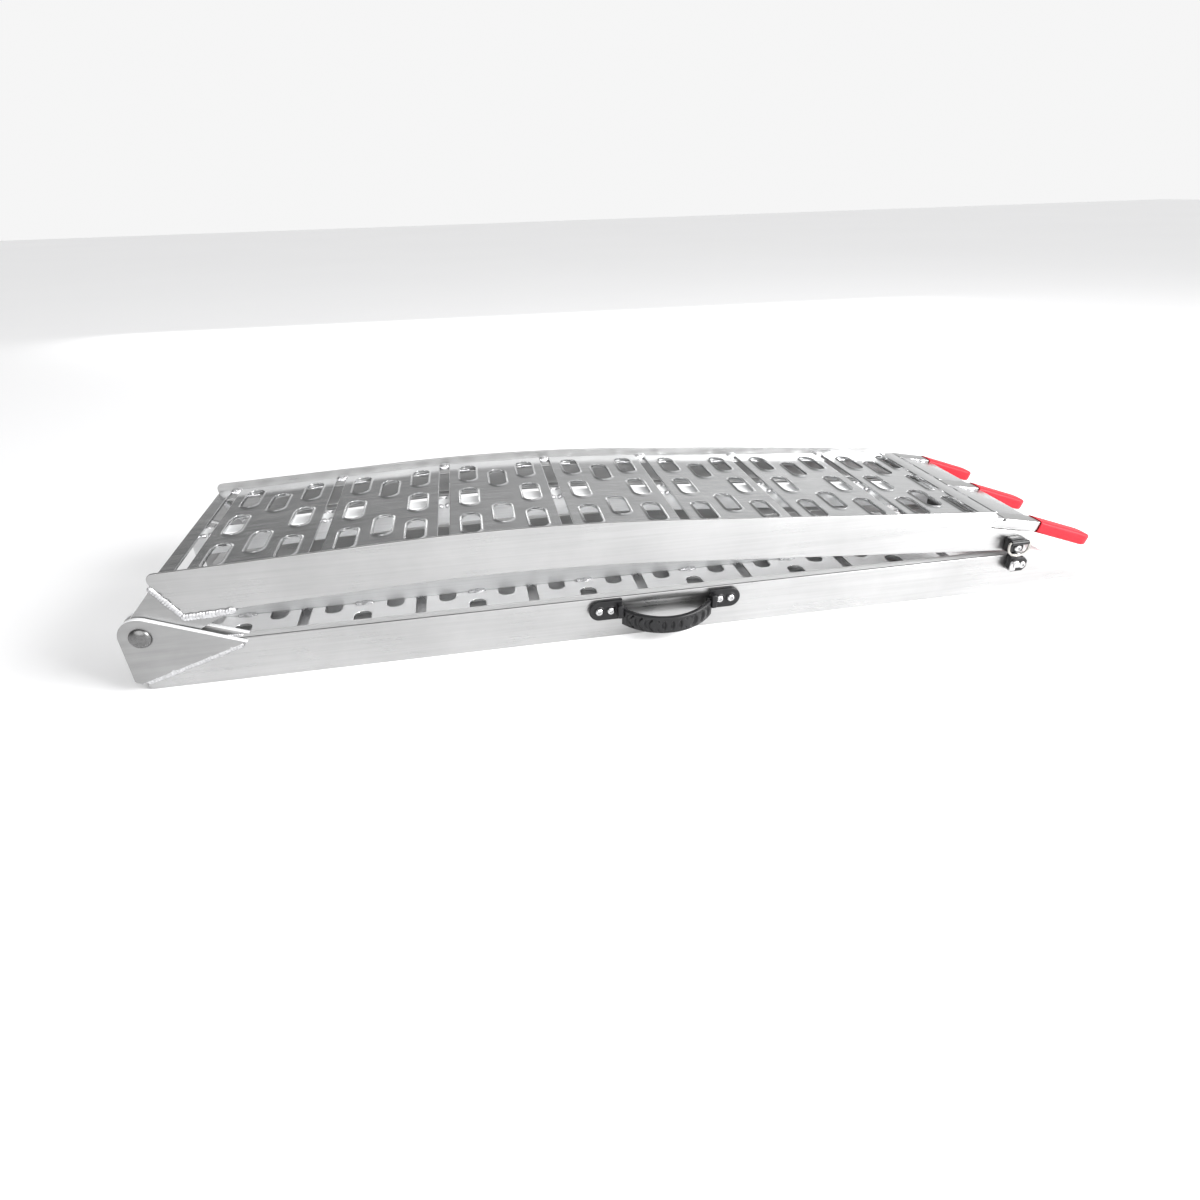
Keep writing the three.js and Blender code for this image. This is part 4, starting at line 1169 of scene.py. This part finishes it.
def soft_sun(name, towards, strength, spread):
    """An even light over the whole floor, from a wide patch of sky."""
    light = bpy.data.lights.new(name, "SUN")
    light.energy = strength
    light.angle = radians(spread)
    obj = placed(name, light)
    obj.rotation_euler = (-Vector(towards)).to_track_quat("-Z", "Y").to_euler()


def studio_world():
    """A white horizon, duller at the far left, under a grey dome that is lighter on the right."""
    world = bpy.data.worlds.new("studio")
    bpy.context.scene.world = world
    world.use_nodes = True
    tree = world.node_tree
    background = tree.nodes["Background"]
    coords = tree.nodes.new("ShaderNodeTexCoord")
    split = tree.nodes.new("ShaderNodeSeparateXYZ")
    tree.links.new(coords.outputs["Generated"], split.inputs["Vector"])

    def graded(axis, from_range, to_range):
        return map_range(tree, split.outputs[axis], from_range, to_range, "SMOOTHSTEP")

    mix = tree.nodes.new("ShaderNodeMix")
    mix.data_type = "RGBA"
    tree.links.new(graded("Z", (0.18, 0.28), (0.0, 1.0)), mix.inputs["Factor"])
    tree.links.new(graded("X", (-0.85, -0.60), (0.70, 1.0)), mix.inputs["A"])
    tree.links.new(graded("X", (-0.40, 0.75), (0.25, 0.95)), mix.inputs["B"])
    tree.links.new(mix.outputs["Result"], background.inputs["Color"])
    background.inputs["Strength"].default_value = 0.92


SENSOR_MM, FOCAL_PIXELS, FRAME_PIXELS = 36.0, 745.1, 1200
CAMERA_TURN = (9.316, 28.845, 1.72)
CAMERA_FROM_PIVOT = (0.3730, -0.8973, 0.4051)


def photo_camera():
    """The photograph's viewing angle, from the fitted position, yaw, pitch and roll."""
    yaw, pitch, roll = (radians(a) for a in CAMERA_TURN)
    forward = Vector((sin(yaw) * cos(pitch), cos(yaw) * cos(pitch), -sin(pitch)))
    right = Vector((cos(yaw), -sin(yaw), 0.0))
    down = forward.cross(right)
    right, down = (right * cos(roll) + down * sin(roll),
                   down * cos(roll) - right * sin(roll))
    data = bpy.data.cameras.new("photo_view")
    data.sensor_width = SENSOR_MM
    data.lens = FOCAL_PIXELS / FRAME_PIXELS * SENSOR_MM
    data.clip_start, data.clip_end = 0.01, 60.0
    camera = placed("photo_view", data)
    axes = Matrix((right, -down, -forward)).transposed().to_4x4()
    camera.matrix_world = Matrix.Translation(PIVOT + Vector(CAMERA_FROM_PIVOT)) @ axes
    bpy.context.scene.camera = camera


studio_floor_sheet()
studio_world()
photo_camera()
area_light("right", (2.0, -1.3, 1.3), (0.55, -0.2, 0.05), (1.5, 1.0), 124)
area_light("back", (0.1, 2.6, 0.28), (0.0, 0.0, 0.06), (3.4, 0.34), 9)
soft_sun("front", (-0.15, -1.0, 0.85), 1.8, 60)
bpy.context.scene.view_settings.view_transform = "Standard"
